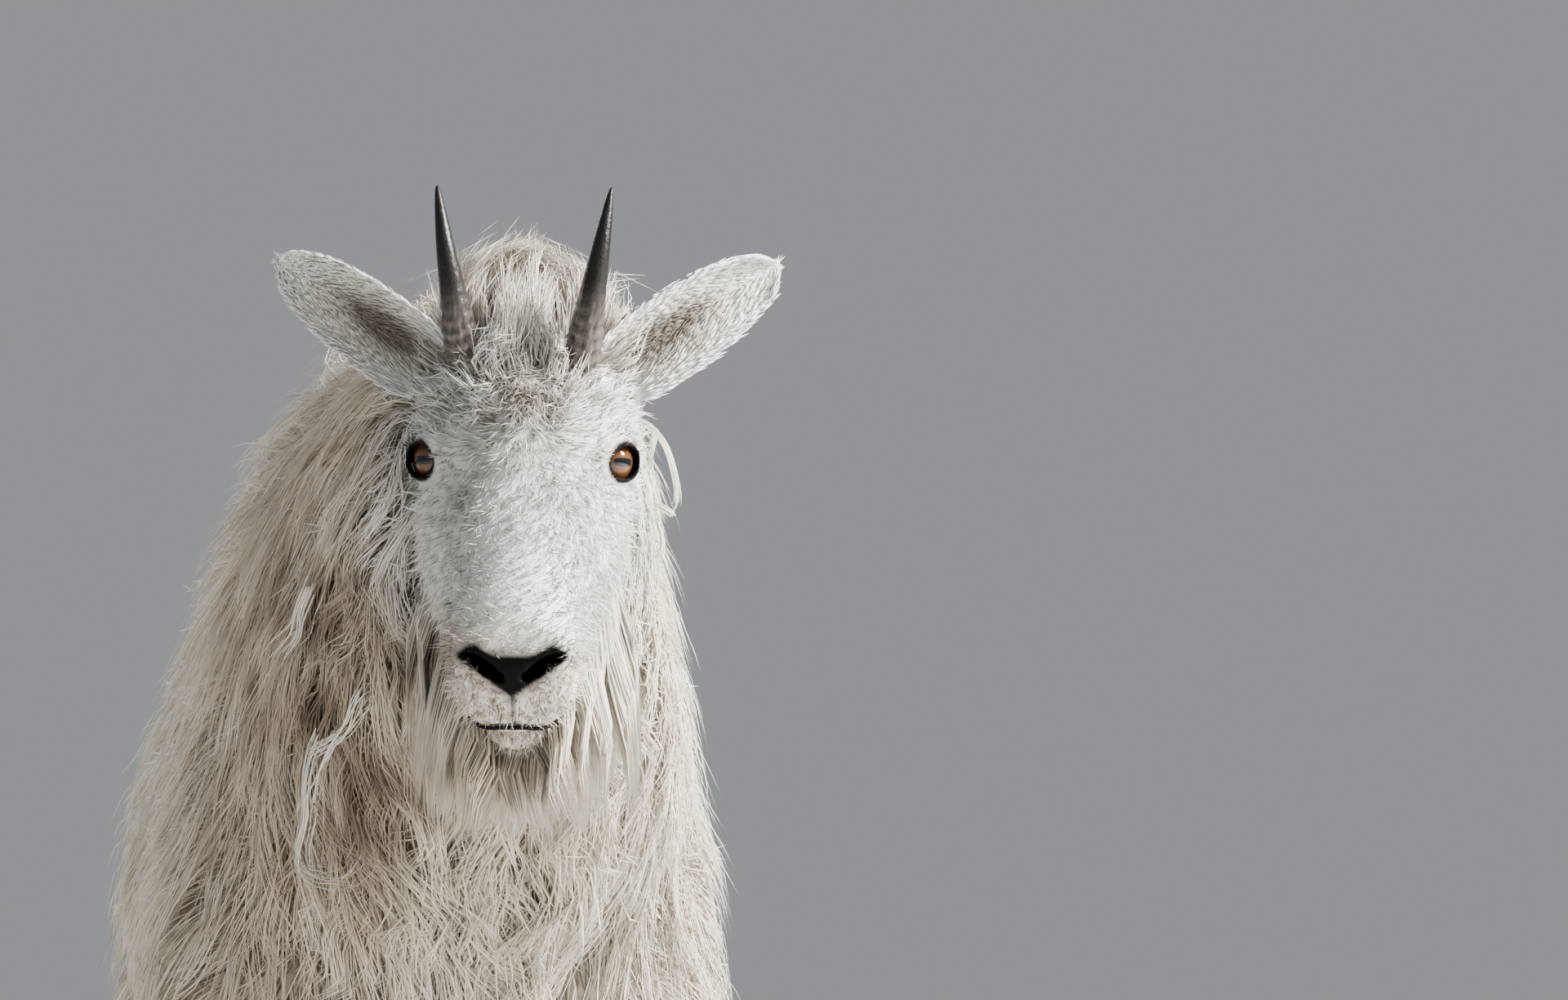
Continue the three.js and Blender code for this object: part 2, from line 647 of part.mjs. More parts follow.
// A core with its locks joined on, as it is and fattened by the gap for cutting its neighbours.
// A lock that folds over itself on a tight bend, so that its fat copy doesn't hold it, is left out.
function coated(core, fatCore, specs) {
  const locks = specs.map((spec) => [lock(spec), lock(spec, GAP)]);
  const sound = locks.filter(([thin, fat]) => thin.volume() > 0 && thin.subtract(fat).volume() < 0.5);
  return {
    body: joined([core, ...sound.map(([thin]) => thin)]),
    fat: joined([fatCore, ...sound.map(([, fat]) => fat)]),
  };
}

const hardFats = [hornOf(1, GAP), hornOf(-1, GAP), earOf(1, GAP), earOf(-1, GAP), earOf(1), earOf(-1), beyondLids()];
function beyondLids() {
  return joined(Object.values(eyeFrames).map((frame) => lidOpening(frame)));
}
const wholeHead = coated(face, headFat, headLocks());
const wholeBeard = coated(bodyOf(beard, 12, 7), bodyOf(beard, 12, 7, GAP), beardLocks());
add("head", without(wholeHead.body, hardFats), "face");
add("beard", without(wholeBeard.body, [wholeHead.fat, wholeHead.body]), "coat");

const pieces = { neck: [], shoulders: [], barrel: [], rump: [] };
for (const spec of trunkLocks()) {
  const cuts = [SHOULDER_CUT, LOIN_CUT, RUMP_CUT];
  const ahead = cuts.findIndex((cut) => isAhead(spec.root, cut));
  pieces[Object.keys(pieces).at(ahead < 0 ? 3 : ahead)].push(spec);
}
const trunkParts = {
  neck: (made) => ahead(made, SHOULDER_CUT),
  shoulders: (made) => ahead(behind(made, SHOULDER_CUT), LOIN_CUT),
  barrel: (made) => ahead(behind(made, LOIN_CUT), RUMP_CUT),
  rump: (made) => behind(made, RUMP_CUT),
};
const trunkFats = [];
for (const [name, part] of Object.entries(trunkParts)) {
  const made = coated(part(trunk), part(trunkFat), pieces[name]);
  const cutters = name === "neck" ? [wholeHead.fat, wholeHead.body, wholeBeard.fat, wholeBeard.body, ...hardFats.slice(0, 6)] : trunkFats;
  add(name, without(made.body, cutters), "coat");
  trunkFats.push(made.fat, made.body);
}
const tailMade = coated(bodyOf(tail, 10, 7), null, tailLocks());
add("tail", without(tailMade.body, trunkFats), "coat");

// Hoof: two toes with a cleft between, flat below
function hoofOf(leg) {
  const foot = section(leg.rows, CORONET_Z);
  const rows = [
    [0, foot.side, foot.up + 8, foot.wide + 7, foot.high + 12, foot.deep + 5, 1],
    [8, foot.side, foot.up + 7, foot.wide + 6, foot.high + 10, foot.deep + 4.5, 1],
    [24, foot.side, foot.up + 3, foot.wide + 3, foot.high + 5, foot.deep + 3, 1],
    [CORONET_Z - GAP, foot.side, foot.up, foot.wide, foot.high, foot.deep, 1],
  ];
  const sections = rows.map((r) =>
    Array.from({ length: 20 }, (_, j) => {
      const angle = (-2 * Math.PI * j) / 20;
      const c = Math.cos(angle);
      const h = Math.sin(angle);
      const toe = r[3] * Math.sign(c) * Math.abs(c) ** 0.8;
      return vec(r[1] + toe, r[0], r[2] + (h > 0 ? r[4] : r[5]) * Math.sign(h) * Math.abs(h) ** 0.9).applyMatrix4(legFrame);
    }),
  );
  const whole = solid(new LoftGeometry(sections, { capStart: true, capEnd: true }));
  const cleft = new THREE.Shape();
  cleft.moveTo(-3.6, -1);
  cleft.lineTo(3.6, -1);
  cleft.lineTo(1.2, 30);
  cleft.lineTo(-1.2, 30);
  const cut = new THREE.ExtrudeGeometry(cleft, { depth: 60, bevelEnabled: false });
  const stand = new THREE.Matrix4().makeBasis(vec(1, 0, 0), vec(0, 0, 1), vec(0, -1, 0)).setPosition(foot.side, -foot.up - 4, 0);
  return whole.subtract(solid(cut, stand));
}

for (const leg of legs) {
  const cut = leg.fore ? KNEE_Z : HOCK_Z;
  const upper = (made) => made.trimByPlane([0, 0, 1], cut + GAP / 2);
  const thigh = coated(upper(bodyOf(leg, 14, 14)), upper(bodyOf(leg, 14, 14, GAP)), legLocks(leg));
  const lower = bodyOf(leg, 14, 14).trimByPlane([0, 0, -1], -(cut - GAP / 2));
  add(`thigh_${leg.name}`, without(thigh.body, [trunkFat, ...trunkFats]), "coat");
  add(`shank_${leg.name}`, without(lower, [thigh.fat, thigh.body]), "face");
  add(`hoof_${leg.name}`, hoofOf(leg), "hoof");
  // Dewclaws: two small blunt claws behind the pastern
  const pastern = section(leg.rows, DEWCLAW_Z);
  for (const [which, way] of [["in", -1], ["out", 1]]) {
    const at = vec(pastern.side + leg.side * way * 12, DEWCLAW_Z, pastern.up - pastern.deep).applyMatrix4(legFrame);
    const place = new THREE.Matrix4().makeTranslation(at.x, at.y, at.z).scale(vec(...DEWCLAW));
    add(`dewclaw_${leg.name}_${which}`, ball(1, place, 8, 6).subtract(bodyOf(leg, 14, 14, GAP)), "hoof");
  }
}

// The origin is on the floor, under the middle of the whole goat
const box = new THREE.Box3().setFromObject(goat);
for (const piece of goat.children) {
  piece.geometry.translate(-(box.min.x + box.max.x) / 2, -(box.min.y + box.max.y) / 2, -box.min.z);
}

export default goat;
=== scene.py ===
import json
import math

import bpy
import numpy as np
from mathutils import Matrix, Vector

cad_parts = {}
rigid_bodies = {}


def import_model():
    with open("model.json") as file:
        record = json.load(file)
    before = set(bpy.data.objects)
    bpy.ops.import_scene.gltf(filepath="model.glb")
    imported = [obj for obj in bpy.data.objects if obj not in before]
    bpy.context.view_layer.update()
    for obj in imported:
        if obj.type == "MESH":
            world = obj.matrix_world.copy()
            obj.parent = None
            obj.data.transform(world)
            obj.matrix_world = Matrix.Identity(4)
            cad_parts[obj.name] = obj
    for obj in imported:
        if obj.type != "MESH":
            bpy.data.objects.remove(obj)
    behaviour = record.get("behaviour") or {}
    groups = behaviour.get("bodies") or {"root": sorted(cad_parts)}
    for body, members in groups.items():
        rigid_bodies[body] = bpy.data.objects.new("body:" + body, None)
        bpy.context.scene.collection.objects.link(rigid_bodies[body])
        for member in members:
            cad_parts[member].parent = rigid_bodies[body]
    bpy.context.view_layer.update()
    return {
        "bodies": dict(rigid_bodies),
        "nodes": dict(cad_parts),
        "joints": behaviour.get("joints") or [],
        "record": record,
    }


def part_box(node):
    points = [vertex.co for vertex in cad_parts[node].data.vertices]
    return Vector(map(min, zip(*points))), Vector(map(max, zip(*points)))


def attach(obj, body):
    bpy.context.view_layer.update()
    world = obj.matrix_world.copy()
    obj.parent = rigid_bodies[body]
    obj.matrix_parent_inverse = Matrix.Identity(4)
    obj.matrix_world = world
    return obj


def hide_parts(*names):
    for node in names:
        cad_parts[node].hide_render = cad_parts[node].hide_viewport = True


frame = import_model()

import openvdb
from mathutils import Matrix, Vector, kdtree

# Forms of the flesh, in millimetres: the same tables as the solids. A row is a section: place along
# the form's axis, centre sideways and up, half width, height above and depth below, low width factor.
TORSO = [
    [-205, 0, 602, 0, 0, 0, 1], [-160, 0, 600, 74, 100, 110, 1.1], [-85, 0, 612, 106, 172, 184, 1.3],
    [0, 0, 624, 120, 222, 224, 1.36], [80, 0, 628, 125, 226, 230, 1.36],
    [180, 0, 622, 129, 206, 228, 1.32], [320, 0, 612, 138, 175, 216, 1.26],
    [460, 0, 610, 142, 160, 194, 1.18], [590, 0, 614, 138, 152, 166, 1.1],
    [680, 0, 622, 108, 124, 127, 1], [732, 0, 630, 0, 0, 0, 1],
]
NECK = [
    [-478, 30, 762, 0, 0, 0, 1], [-440, 30, 755, 58, 76, 84, 1], [-385, 28, 735, 76, 106, 122, 1.05],
    [-300, 22, 705, 88, 134, 152, 1.16], [-200, 15, 682, 98, 156, 176, 1.2],
    [-100, 8, 668, 106, 170, 184, 1.2], [0, 2, 655, 108, 172, 150, 1], [60, 0, 650, 0, 0, 0, 1],
]
HEAD = [
    [-128, 0, -8, 0, 0, 0, 1], [-105, 0, -10, 46, 54, 58, 1], [-70, 0, -12, 58, 74, 80, 1],
    [-35, 0, -14, 62, 76, 84, 1], [0, 0, -16, 61.5, 69, 82, 1.02], [30, 0, -18, 57, 61, 74, 1.1],
    [65, 0, -19, 49.5, 52, 66, 1.14], [100, 0, -20, 41.5, 46, 58, 1.12],
    [130, 0, -21, 36.5, 41, 53, 1.06], [152, 0, -22, 34, 35, 45, 1.02], [168, 0, -23, 27, 24, 33, 1],
    [177, 0, -24, 0, 0, 0, 1],
]
FORE_LEG = [
    [42, 100, 46, 27, 32, 25, 1], [62, 100, 40, 25, 28, 26, 1], [98, 100, 32, 27, 27, 31, 1],
    [175, 100, 27, 23, 25, 26, 1], [235, 100, 28, 29, 31, 31, 1], [270, 100, 30, 38, 41, 42, 1],
    [330, 100, 30, 52, 56, 58, 1], [400, 98, 28, 60, 68, 72, 1], [480, 92, 20, 60, 78, 82, 1],
    [570, 80, 10, 48, 78, 82, 1], [660, 68, 0, 0, 0, 0, 1],
]
HIND_LEG = [
    [42, 98, -642, 27, 32, 25, 1], [62, 98, -650, 25, 28, 27, 1], [98, 98, -660, 27, 28, 32, 1],
    [180, 99, -668, 24, 26, 28, 1], [255, 100, -672, 29, 31, 37, 1], [300, 101, -668, 36, 39, 49, 1],
    [350, 102, -648, 47, 57, 60, 1], [420, 100, -618, 57, 80, 84, 1], [500, 94, -598, 60, 96, 96, 1],
    [590, 78, -592, 54, 98, 96, 1], [680, 66, -596, 0, 0, 0, 1],
]
TAIL = [
    [598, 0, -778, 0, 0, 0, 1], [618, 0, -772, 16, 11, 12, 1], [660, 0, -752, 21, 14, 15, 1],
    [705, 0, -722, 22, 18, 18, 1], [735, 0, -690, 0, 0, 0, 1],
]
STAGGER = {"fore_left": -14, "fore_right": 16, "hind_left": 18, "hind_right": -16}
CORONET_Z = 0.042
DEWCLAW_Z, DEWCLAW = 0.078, (0.007, 0.009, 0.013)
HEAD_AT = (0.030, -0.470, 0.760)
HEAD_TURN = [math.radians(a) for a in (45.5, 1, -6)]  # pitch, roll, yaw
VIEW_FORWARD, VIEW_UP = 0.713, 0.701  # sine and cosine of the pitch, for heights as the photo sees them
EYE_AT = (0.0485, 0.003, 0.006)  # side, forward, up in the head's frame
EYE_R = 0.0145
LID_R = 0.0174
LID_WIDE, LID_HIGH, LID_POWERS = 0.013, 0.0092, (2.4, 1.7)  # half the lids' opening, powers of its outline
EYE_OUT, EYE_UP = math.radians(50), math.radians(26)
HORN_R = 0.0125  # at the base
SQUARE = 2.25  # power of a section's outline: 2 is an ellipse, more is boxier
TORSO_TAPER = 0.25  # how much narrower a section of the trunk is at its top
FADE_FROM, FADE_OVER = 42, 400  # mm: a leg's stagger is full at the coronet and gone this far above it
SIDES = (("left", 1), ("right", -1))
MM = 0.001
rng = np.random.default_rng(5)


def through(rows, place, values):
    """Cubic through the rows' values at each place, with slopes from the neighbours on both sides."""
    x = rows[:, 0]
    i = np.clip(np.searchsorted(x, place), 1, len(x) - 1)
    step = x[i] - x[i - 1]
    u = np.clip((place - x[i - 1]) / step, 0, 1)
    low, high = np.maximum(np.arange(len(x)) - 1, 0), np.minimum(np.arange(len(x)) + 1, len(x) - 1)
    slope = (values[high] - values[low]) / (x[high] - x[low])
    a, b, sa, sb = values[i - 1], values[i], slope[i - 1] * step, slope[i] * step
    return a * (2 * u**3 - 3 * u**2 + 1) + sa * (u**3 - 2 * u**2 + u) + b * (3 * u**2 - 2 * u**3) + sb * (u**3 - u**2)


class Form:
    """A table of sections in a frame whose axes are side, along and up."""

    def __init__(self, rows, frame, mirror=1, along=0, taper=0.0):
        rows = np.array(rows, float)
        lean = np.clip(1 - (rows[:, 0] - FADE_FROM) / FADE_OVER, 0, 1) * along
        rows[:, 1] *= mirror
        rows[:, 2] -= lean
        rows[:, :6] *= MM
        self.rows = rows
        self.taper = taper
        self.back = np.linalg.inv(np.array(frame))

    def local(self, points):
        return points @ self.back[:3, :3].T + self.back[:3, 3]

    def section(self, place):
        """Centre, half width, height, depth and low width factor; sizes are roots of cubics through squares."""
        size = [np.sqrt(np.maximum(through(self.rows, place, self.rows[:, k] ** 2), 0)) for k in (3, 4, 5)]
        side, up, low = (through(self.rows, place, self.rows[:, k]) for k in (1, 2, 6))
        return side, up, *size, low

    def distance(self, points):
        """Rough distance from the surface: the radius times how far past the section's outline the point is."""
        p = self.local(points)
        place = np.clip(p[:, 1], self.rows[0, 0] + MM, self.rows[-1, 0] - MM)
        side, up, wide, high, deep, low = self.section(place)
        dx, dz = p[:, 0] - side, p[:, 2] - up
        h = np.maximum(np.where(dz > 0, high, deep), MM)
        s = dz / h
        low_side = 1 + (low - 1) * np.minimum(1, -1.6 * s)
        w = np.maximum(wide * np.where(s < 0, low_side, 1 - self.taper * np.minimum(s, 2)), MM)
        ratio = np.maximum((np.abs(dx / w) ** SQUARE + np.abs(s) ** SQUARE) ** (1 / SQUARE), 0.02)
        radial = np.hypot(dx, dz) * (1 - 1 / ratio) - np.where(ratio <= 0.02, np.minimum(w, h), 0)
        return np.where(p[:, 1] == place, radial, np.hypot(np.maximum(radial, 0), p[:, 1] - place))


LEG_FRAME = Matrix(((1, 0, 0, 0), (0, 0, -1, 0), (0, 1, 0, 0), (0, 0, 0, 1)))
PITCH, ROLL, YAW = (Matrix.Rotation(turn, 4, axis) for turn, axis in zip(HEAD_TURN, "XYZ"))
HEAD_PLACE = Matrix.Translation(HEAD_AT) @ (YAW @ PITCH @ ROLL)
HEAD_FRAME = HEAD_PLACE @ Matrix(((-1, 0, 0, 0), (0, -1, 0, 0), (0, 0, 1, 0), (0, 0, 0, 1)))
torso = Form(TORSO, Matrix(), taper=TORSO_TAPER)
neck = Form(NECK, Matrix(), taper=TORSO_TAPER / 2)
head = Form(HEAD, HEAD_FRAME)
tail = Form(TAIL, LEG_FRAME)
legs = {
    name: Form(FORE_LEG if "fore" in name else HIND_LEG, LEG_FRAME, 1 if "left" in name else -1, along)
    for name, along in STAGGER.items()
}
TRUNK = [torso, neck, *legs.values(), tail]
TILES = [*TRUNK, head]


def smooth_min(a, b, k):
    """The smaller of two distances, with the crease where they are within k of each other filled in."""
    h = np.maximum(k - np.abs(a - b), 0) / k
    return np.minimum(a, b) - h * h * k / 4


def field(points, forms=TRUNK, k=0.03):
    """Smooth union of the forms: under 0 inside the flesh."""
    value = forms[0].distance(points)
    for form in forms[1:]:
        value = smooth_min(value, form.distance(points), k)
    return value


def gradient(points, of):
    """Slope of a field: its difference between points one step to each side, over two steps."""
    step = 0.0015
    shifts = np.eye(3) * step
    return np.stack([(of(points + s) - of(points - s)) / (2 * step) for s in shifts], 1)


def unit(v):
    return v / np.maximum(np.linalg.norm(v, axis=-1, keepdims=True), 1e-9)


def ramp(value, low, high):
    """Smoothstep from 0 at low to 1 at high."""
    t = np.clip((value - low) / (high - low), 0, 1)
    return t * t * (3 - 2 * t)


def bell(*terms):
    """1 where every term is 0, falling off as e to the power of minus the sum of their squares."""
    return np.exp(-sum(term * term for term in terms))


def settle(points, height, of, turns=3):
    """Points moved along the slope of a field until its value there is the height."""
    for _ in range(turns):
        g = gradient(points, of)
        move = (of(points) - height) / np.maximum((g * g).sum(1), 0.2) * 0.9
        points = points - g * np.clip(move, -0.025, 0.025)[:, None]
    return points


def in_head(points):
    """World points in the head's frame: side, forward, up."""
    back = np.array(HEAD_PLACE.inverted())
    p = points @ back[:3, :3].T + back[:3, 3]
    return p * (1, -1, 1)


def from_head(points):
    turn = np.array(HEAD_PLACE)
    return (np.asarray(points) * (1, -1, 1)) @ turn[:3, :3].T + turn[:3, 3]


def head_way(ways):
    return (np.asarray(ways) * (1, -1, 1)) @ np.array(HEAD_PLACE)[:3, :3].T


def eye_axes(mirror):
    """Centre of an eyeball and its along, up and outward axes, in the head's frame."""
    level = math.cos(EYE_UP)
    axis = np.array((mirror * math.sin(EYE_OUT) * level, math.cos(EYE_OUT) * level, math.sin(EYE_UP)))
    along = unit(np.cross(axis, (0, -VIEW_FORWARD, VIEW_UP)))
    return np.array(EYE_AT) * (mirror, 1, 1), along, np.cross(along, axis), axis


# The solids' shift from these tables to the row frame, read off the left eye's box
SHIFT = np.array(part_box("eye_left")).mean(0) - from_head(np.array([EYE_AT]))[0]


def waves(p, scale, seed):
    """Smooth noise from -1 to 1: a sum of sines in seeded directions."""
    dice = np.random.default_rng(seed)
    total = 0
    for k in range(6):
        way = unit(dice.normal(size=3)) * (1 + k * 0.6) / scale
        total = total + np.sin(p @ way * 2 * np.pi + dice.uniform(0, 6.28)) / (1 + k * 0.45)
    return total / 2.6


def almond(p, mirror, grow=0.0):
    """Value in the lid opening's outline, seen along the eye's axis: under 1 inside."""
    centre, along, up, axis = eye_axes(mirror)
    d = p - centre
    a, b, c = d @ along, d @ up, d @ axis
    value = (np.abs(a) / (LID_WIDE + grow)) ** LID_POWERS[0] + (np.abs(b) / (LID_HIGH + grow)) ** LID_POWERS[1]
    return np.where(c > 0, value, 9), np.linalg.norm(d, axis=1)


CREAM, WHITE, TAN, SOOT, DIRT_AND_SHADE, GREY = np.array([
    (0.83, 0.785, 0.70), (0.87, 0.865, 0.85), (0.52, 0.42, 0.30),
    (0.022, 0.019, 0.018), (0.16, 0.12, 0.085), (0.27, 0.255, 0.245),
])
# Dark spots on the chest, painted shadow in hollows of the coat: side, up, size
HOLLOW_SHADOWS = [
    (-0.052, 0.578, 0.020), (-0.057, 0.548, 0.020), (-0.030, 0.644, 0.012), (-0.020, 0.572, 0.012),
    (-0.084, 0.620, 0.015), (-0.079, 0.672, 0.014),
]


def blend(colour, other, share):
    """The colour moved towards the other by each point's share."""
    return colour + (other - colour) * share[:, None]


def marking(p):
    """Colour of the animal at world points, with painted shade, the same for the skin and the coat."""
    q = in_head(p)
    qx, qy, qz = q.T
    px, py, pz = p.T
    face = 1 - ramp(np.linalg.norm((q - (0, 0.03, -0.01)) * (1.15, 0.9, 1), axis=1), 0.09, 0.16)
    colour = blend(CREAM, WHITE, face)
    # tan patches, partly weathering and partly painted shade of the coat's hollows; then painted shade, browner and
    # darker, on the left of the neck and on the breast
    stain_and_shade = (ramp(waves(p, 0.14, 3), 0.05, 1.0) * 0.35 + ramp(waves(p, 0.045, 7), 0.1, 1.0) * 0.25) * (1 - face)
    # painted shade: the left of the neck more tan
    stain_and_shade = stain_and_shade + 0.22 * ramp(-px, 0.02, 0.14) * (1 - face)
    colour = blend(colour, TAN, stain_and_shade)
    # painted shade in blotches, darkest on the left of the neck and on the breast
    left = ramp(-px, -0.02, 0.07) * ramp(-py, 0.0, 0.2) * (1 - face)
    breast = 0.5 * ramp(-py, 0.1, 0.25) * (1 - ramp(np.abs(px + 0.01), 0.05, 0.12)) * (1 - face)
    shaded = np.maximum(left, breast) * (0.34 + 0.44 * ramp(waves(p, 0.06, 31), -0.2, 0.8))
    colour = blend(colour, TAN * 0.82, shaded)
    # dark spots of painted shadow in the hollows of the chest's coat, and paler painted shade round each
    soil_and_shade, shade_round_spots = np.zeros(len(p)), np.zeros(len(p))
    rough = waves(p, 0.03, 41) * 0.006
    for x, z, size in HOLLOW_SHADOWS:
        d = ((px - x + rough) ** 2 + (pz - z - rough) ** 2) / size**2
        soil_and_shade = np.maximum(soil_and_shade, np.exp(-d) * (py < -0.05))
        shade_round_spots = np.maximum(shade_round_spots, np.exp(-d / 5) * (py < -0.05))
    colour = blend(colour, TAN * 0.8, shade_round_spots * 0.6)
    # dark parting of the crown, feet, and the soft dark rim of the nose
    crown = 0.42 * bell(qx / 0.013, (fall(q) + 0.055) / 0.022) * (qz > 0)
    parting = (0.85 + 0.3 * waves(p, 0.012, 71)) * bell(qx / 0.014, (fall(q) + 0.034) / 0.011)
    crown = np.maximum(crown, parting * (qz > 0))
    feet = 1 - ramp(pz, 0.04, 0.30)
    fuzz = 0.62 * bell(np.maximum(pad_gap(q), 0) / 0.0042)
    colour = blend(colour, SOOT * 2, fuzz)
    soil_and_shade = np.maximum(soil_and_shade * 0.92, np.maximum(crown, feet * 0.22))
    # grey over the brows, down the sides of the bridge and round the lids, partly grey skin under thin fur and partly
    # painted shade under the brows, in the sockets and on the muzzle's sides; and specks beside the nose
    x = np.abs(qx)
    brow = ramp(qy, -0.03, 0.0) * (1 - ramp(qy, 0.05, 0.09)) * ramp(x, 0.003, 0.015) * ramp(qz, -0.01, 0.02)
    flank = bell((x - 0.031) / 0.012) * ramp(qy, 0.03, 0.06) * (1 - ramp(qy, 0.11, 0.14))
    grey = (0.34 * brow + 0.36 * flank) * (0.8 + 0.4 * waves(p, 0.02, 17))
    for mirror in (1, -1):
        value, far = almond(q, mirror, 0.0045)
        grey = np.maximum(grey, 0.55 * (1 - ramp(value, 1.0, 2.6)) * (far < 0.032))
    colour = blend(colour, GREY, grey)
    speckled = (waves(p, 0.0045, 11) > 0.25) * ramp(qy, 0.125, 0.145) * (1 - ramp(np.abs(qx), 0.026, 0.034))
    soil_and_shade = np.maximum(soil_and_shade, speckled * 0.75 * ramp(fall(q), 0.112, 0.122))
    # the brown of the soiled crown, parting and feet and of the specks by the nose, with the painted shadow of the
    # chest's spots
    return blend(colour, DIRT_AND_SHADE, soil_and_shade)


def fall(q):
    """How far a point of the head lies below the eyes as the photo sees it."""
    return VIEW_FORWARD * q[:, 1] - VIEW_UP * q[:, 2]


def mouth_line(q):
    """Height of the mouth in the head's frame: it climbs a little towards its corners."""
    x = np.abs(q[:, 0])
    return -0.0430 + 0.15 * (0.165 - q[:, 1]) - 0.0065 * ramp(x, 0.002, 0.022) + 0.0030 * ramp(x, 0.026, 0.036)


def pad_gap(q):
    """How far a point of the muzzle lies outside the nose pad; under 0 on it."""
    x, v = np.abs(q[:, 0]), fall(q)
    edge = np.clip(x / 0.031, 0, 1)
    top = 0.1165 - 0.0065 * bell((edge - 0.74) / 0.26)
    low = 0.1395 - 0.022 * edge
    return np.where(q[:, 1] > 0.11, np.maximum(np.maximum(top - v, v - low), x - 0.0315), 1.0)


def bare(p):
    """How dark and bare the face is at world points: nose pad, nostrils, lips, lids."""
    q = in_head(p)
    x, v = np.abs(q[:, 0]), fall(q)
    pad = 1 - ramp(pad_gap(q), -0.0010, 0.0014)
    above = q[:, 2] - mouth_line(q)
    seam = (1 - ramp(x, 0.0008, 0.0022)) * ramp(v, 0.125, 0.130) * (1 - ramp(above, 0.0, -0.002)) * (q[:, 1] > 0.12)
    lips = bell(above / 0.0034) * ramp(q[:, 1], 0.09, 0.125)
    dark = np.maximum(np.maximum(pad, seam * 0.8), lips)
    for mirror in (1, -1):
        value, far = almond(q, mirror, 0.0027)
        dark = np.maximum(dark, (1 - ramp(value, 0.95, 1.25)) * (far < 0.027))
        centre, along, up, axis = eye_axes(mirror)
        corner = centre + along * np.sign(along[1]) * 0.0150 - up * 0.0040 + axis * 0.006
        dark = np.maximum(dark, bell(np.linalg.norm(q - corner, axis=1) / 0.0042) * 0.9)
    return dark


def new_object(name, points, faces, material, tint, uv=None):
    """Mesh from numpy points and faces of one size, moved into the row frame."""
    mesh = bpy.data.meshes.new(name)
    points, faces = np.asarray(points, np.float32) + SHIFT.astype(np.float32), np.asarray(faces, np.int32)
    size = faces.shape[1]
    mesh.vertices.add(len(points))
    mesh.vertices.foreach_set("co", points.ravel())
    mesh.loops.add(faces.size)
    mesh.loops.foreach_set("vertex_index", faces.ravel())
    mesh.polygons.add(len(faces))
    mesh.polygons.foreach_set("loop_start", np.arange(0, faces.size, size, dtype=np.int32))
    mesh.update(calc_edges=True)
    mesh.validate()
    mesh.polygons.foreach_set("use_smooth", np.ones(len(mesh.polygons), bool))
    layer = mesh.color_attributes.new("tint", "FLOAT_COLOR", "POINT")
    layer.data.foreach_set("color", np.c_[tint, np.ones(len(tint))].astype(np.float32).ravel())
    if uv is not None:
        index = np.empty(len(mesh.loops), np.int32)
        mesh.loops.foreach_get("vertex_index", index)
        mesh.uv_layers.new(name="OFBake").uv.foreach_set("vector", uv[index].astype(np.float32).ravel())
    mesh.materials.append(material)
    return link(name, mesh)


def link(name, data):
    """New object of the scene that shows the data."""
    made = bpy.data.objects.new(name, data)
    bpy.context.scene.collection.objects.link(made)
    return made


def material(name, roughness, specular=0.5, coat=0.0, colour=None, bump=None, sheen=0.0):
    """Principled shader that takes its colour from the tint attribute, with noise bump in object space."""
    made = bpy.data.materials.new(name)
    made.use_nodes = True
    nodes, links = made.node_tree.nodes, made.node_tree.links
    shader = nodes["Principled BSDF"]
    values = {"Roughness": roughness, "Specular IOR Level": specular, "Coat Weight": coat}
    values |= {"Coat Roughness": 0.03, "Sheen Weight": sheen}
    for key, value in values.items():
        shader.inputs[key].default_value = value
    if colour is None:
        tint = nodes.new("ShaderNodeAttribute")
        tint.attribute_name = "tint"
        links.new(tint.outputs["Color"], shader.inputs["Base Color"])
    else:
        shader.inputs["Base Color"].default_value = (*colour, 1)
    if bump:
        scale, depth, stretch = bump
        place = nodes.new("ShaderNodeTexCoord")
        turn = nodes.new("ShaderNodeMapping")
        turn.inputs["Scale"].default_value = stretch
        noise = nodes.new("ShaderNodeTexNoise")
        noise.inputs["Scale"].default_value = scale
        noise.inputs["Detail"].default_value = 4
        relief = nodes.new("ShaderNodeBump")
        relief.inputs["Distance"].default_value = depth
        links.new(place.outputs["Object"], turn.inputs["Vector"])
        links.new(turn.outputs["Vector"], noise.inputs["Vector"])
        links.new(noise.outputs["Fac"], relief.inputs["Height"])
        links.new(relief.outputs["Normal"], shader.inputs["Normal"])
    return made


FUR = material("fur", 0.72, 0.20, sheen=0.04)
HIDE = material("hide", 0.45, 0.05, bump=(900, 0.0004, (1, 1, 0.35)))


# Skin. The hide of trunk, neck and legs is one level of the smooth field; the head's is finer, with brow,
# lids, nostrils, lips and the groove of the mouth. The coat's roots stand in it.
def level_mesh(of, low, high, step, level=0.0):
    """Quads of a field's level on a grid."""
    axes = [np.arange(a, b, step) for a, b in zip(low, high)]
    shape = [len(a) for a in axes]
    values = np.empty(shape, np.float32)
    for i, x in enumerate(axes[0]):
        grid = np.stack(np.meshgrid([x], axes[1], axes[2], indexing="ij"), -1).reshape(-1, 3)
        values[i] = (of(grid) - level).reshape(shape[1:])
    made = openvdb.FloatGrid(background=1.0)
    made.copyFromArray(values)
    points, quads = made.convertToQuads(isovalue=0.0)
    return points * step + low, quads.astype(np.int64)


def outward(points, faces):
    """The faces, turned over if the volume inside them, by triple products of three corners, is under 0."""
    a, b, c = (points[faces[:, k]] - points.mean(0) for k in range(3))
    return faces[:, ::-1] if np.einsum("ij,ij->i", a, np.cross(b, c)).sum() < 0 else faces


def ring_quads(rows, ring):
    """Quads between neighbouring rings of points."""
    i, j = np.meshgrid(np.arange(rows - 1) * ring, np.arange(ring), indexing="ij")
    after = (j + 1) % ring
    return np.stack([i + j, i + ring + j, i + ring + after, i + after], -1).reshape(-1, 4)


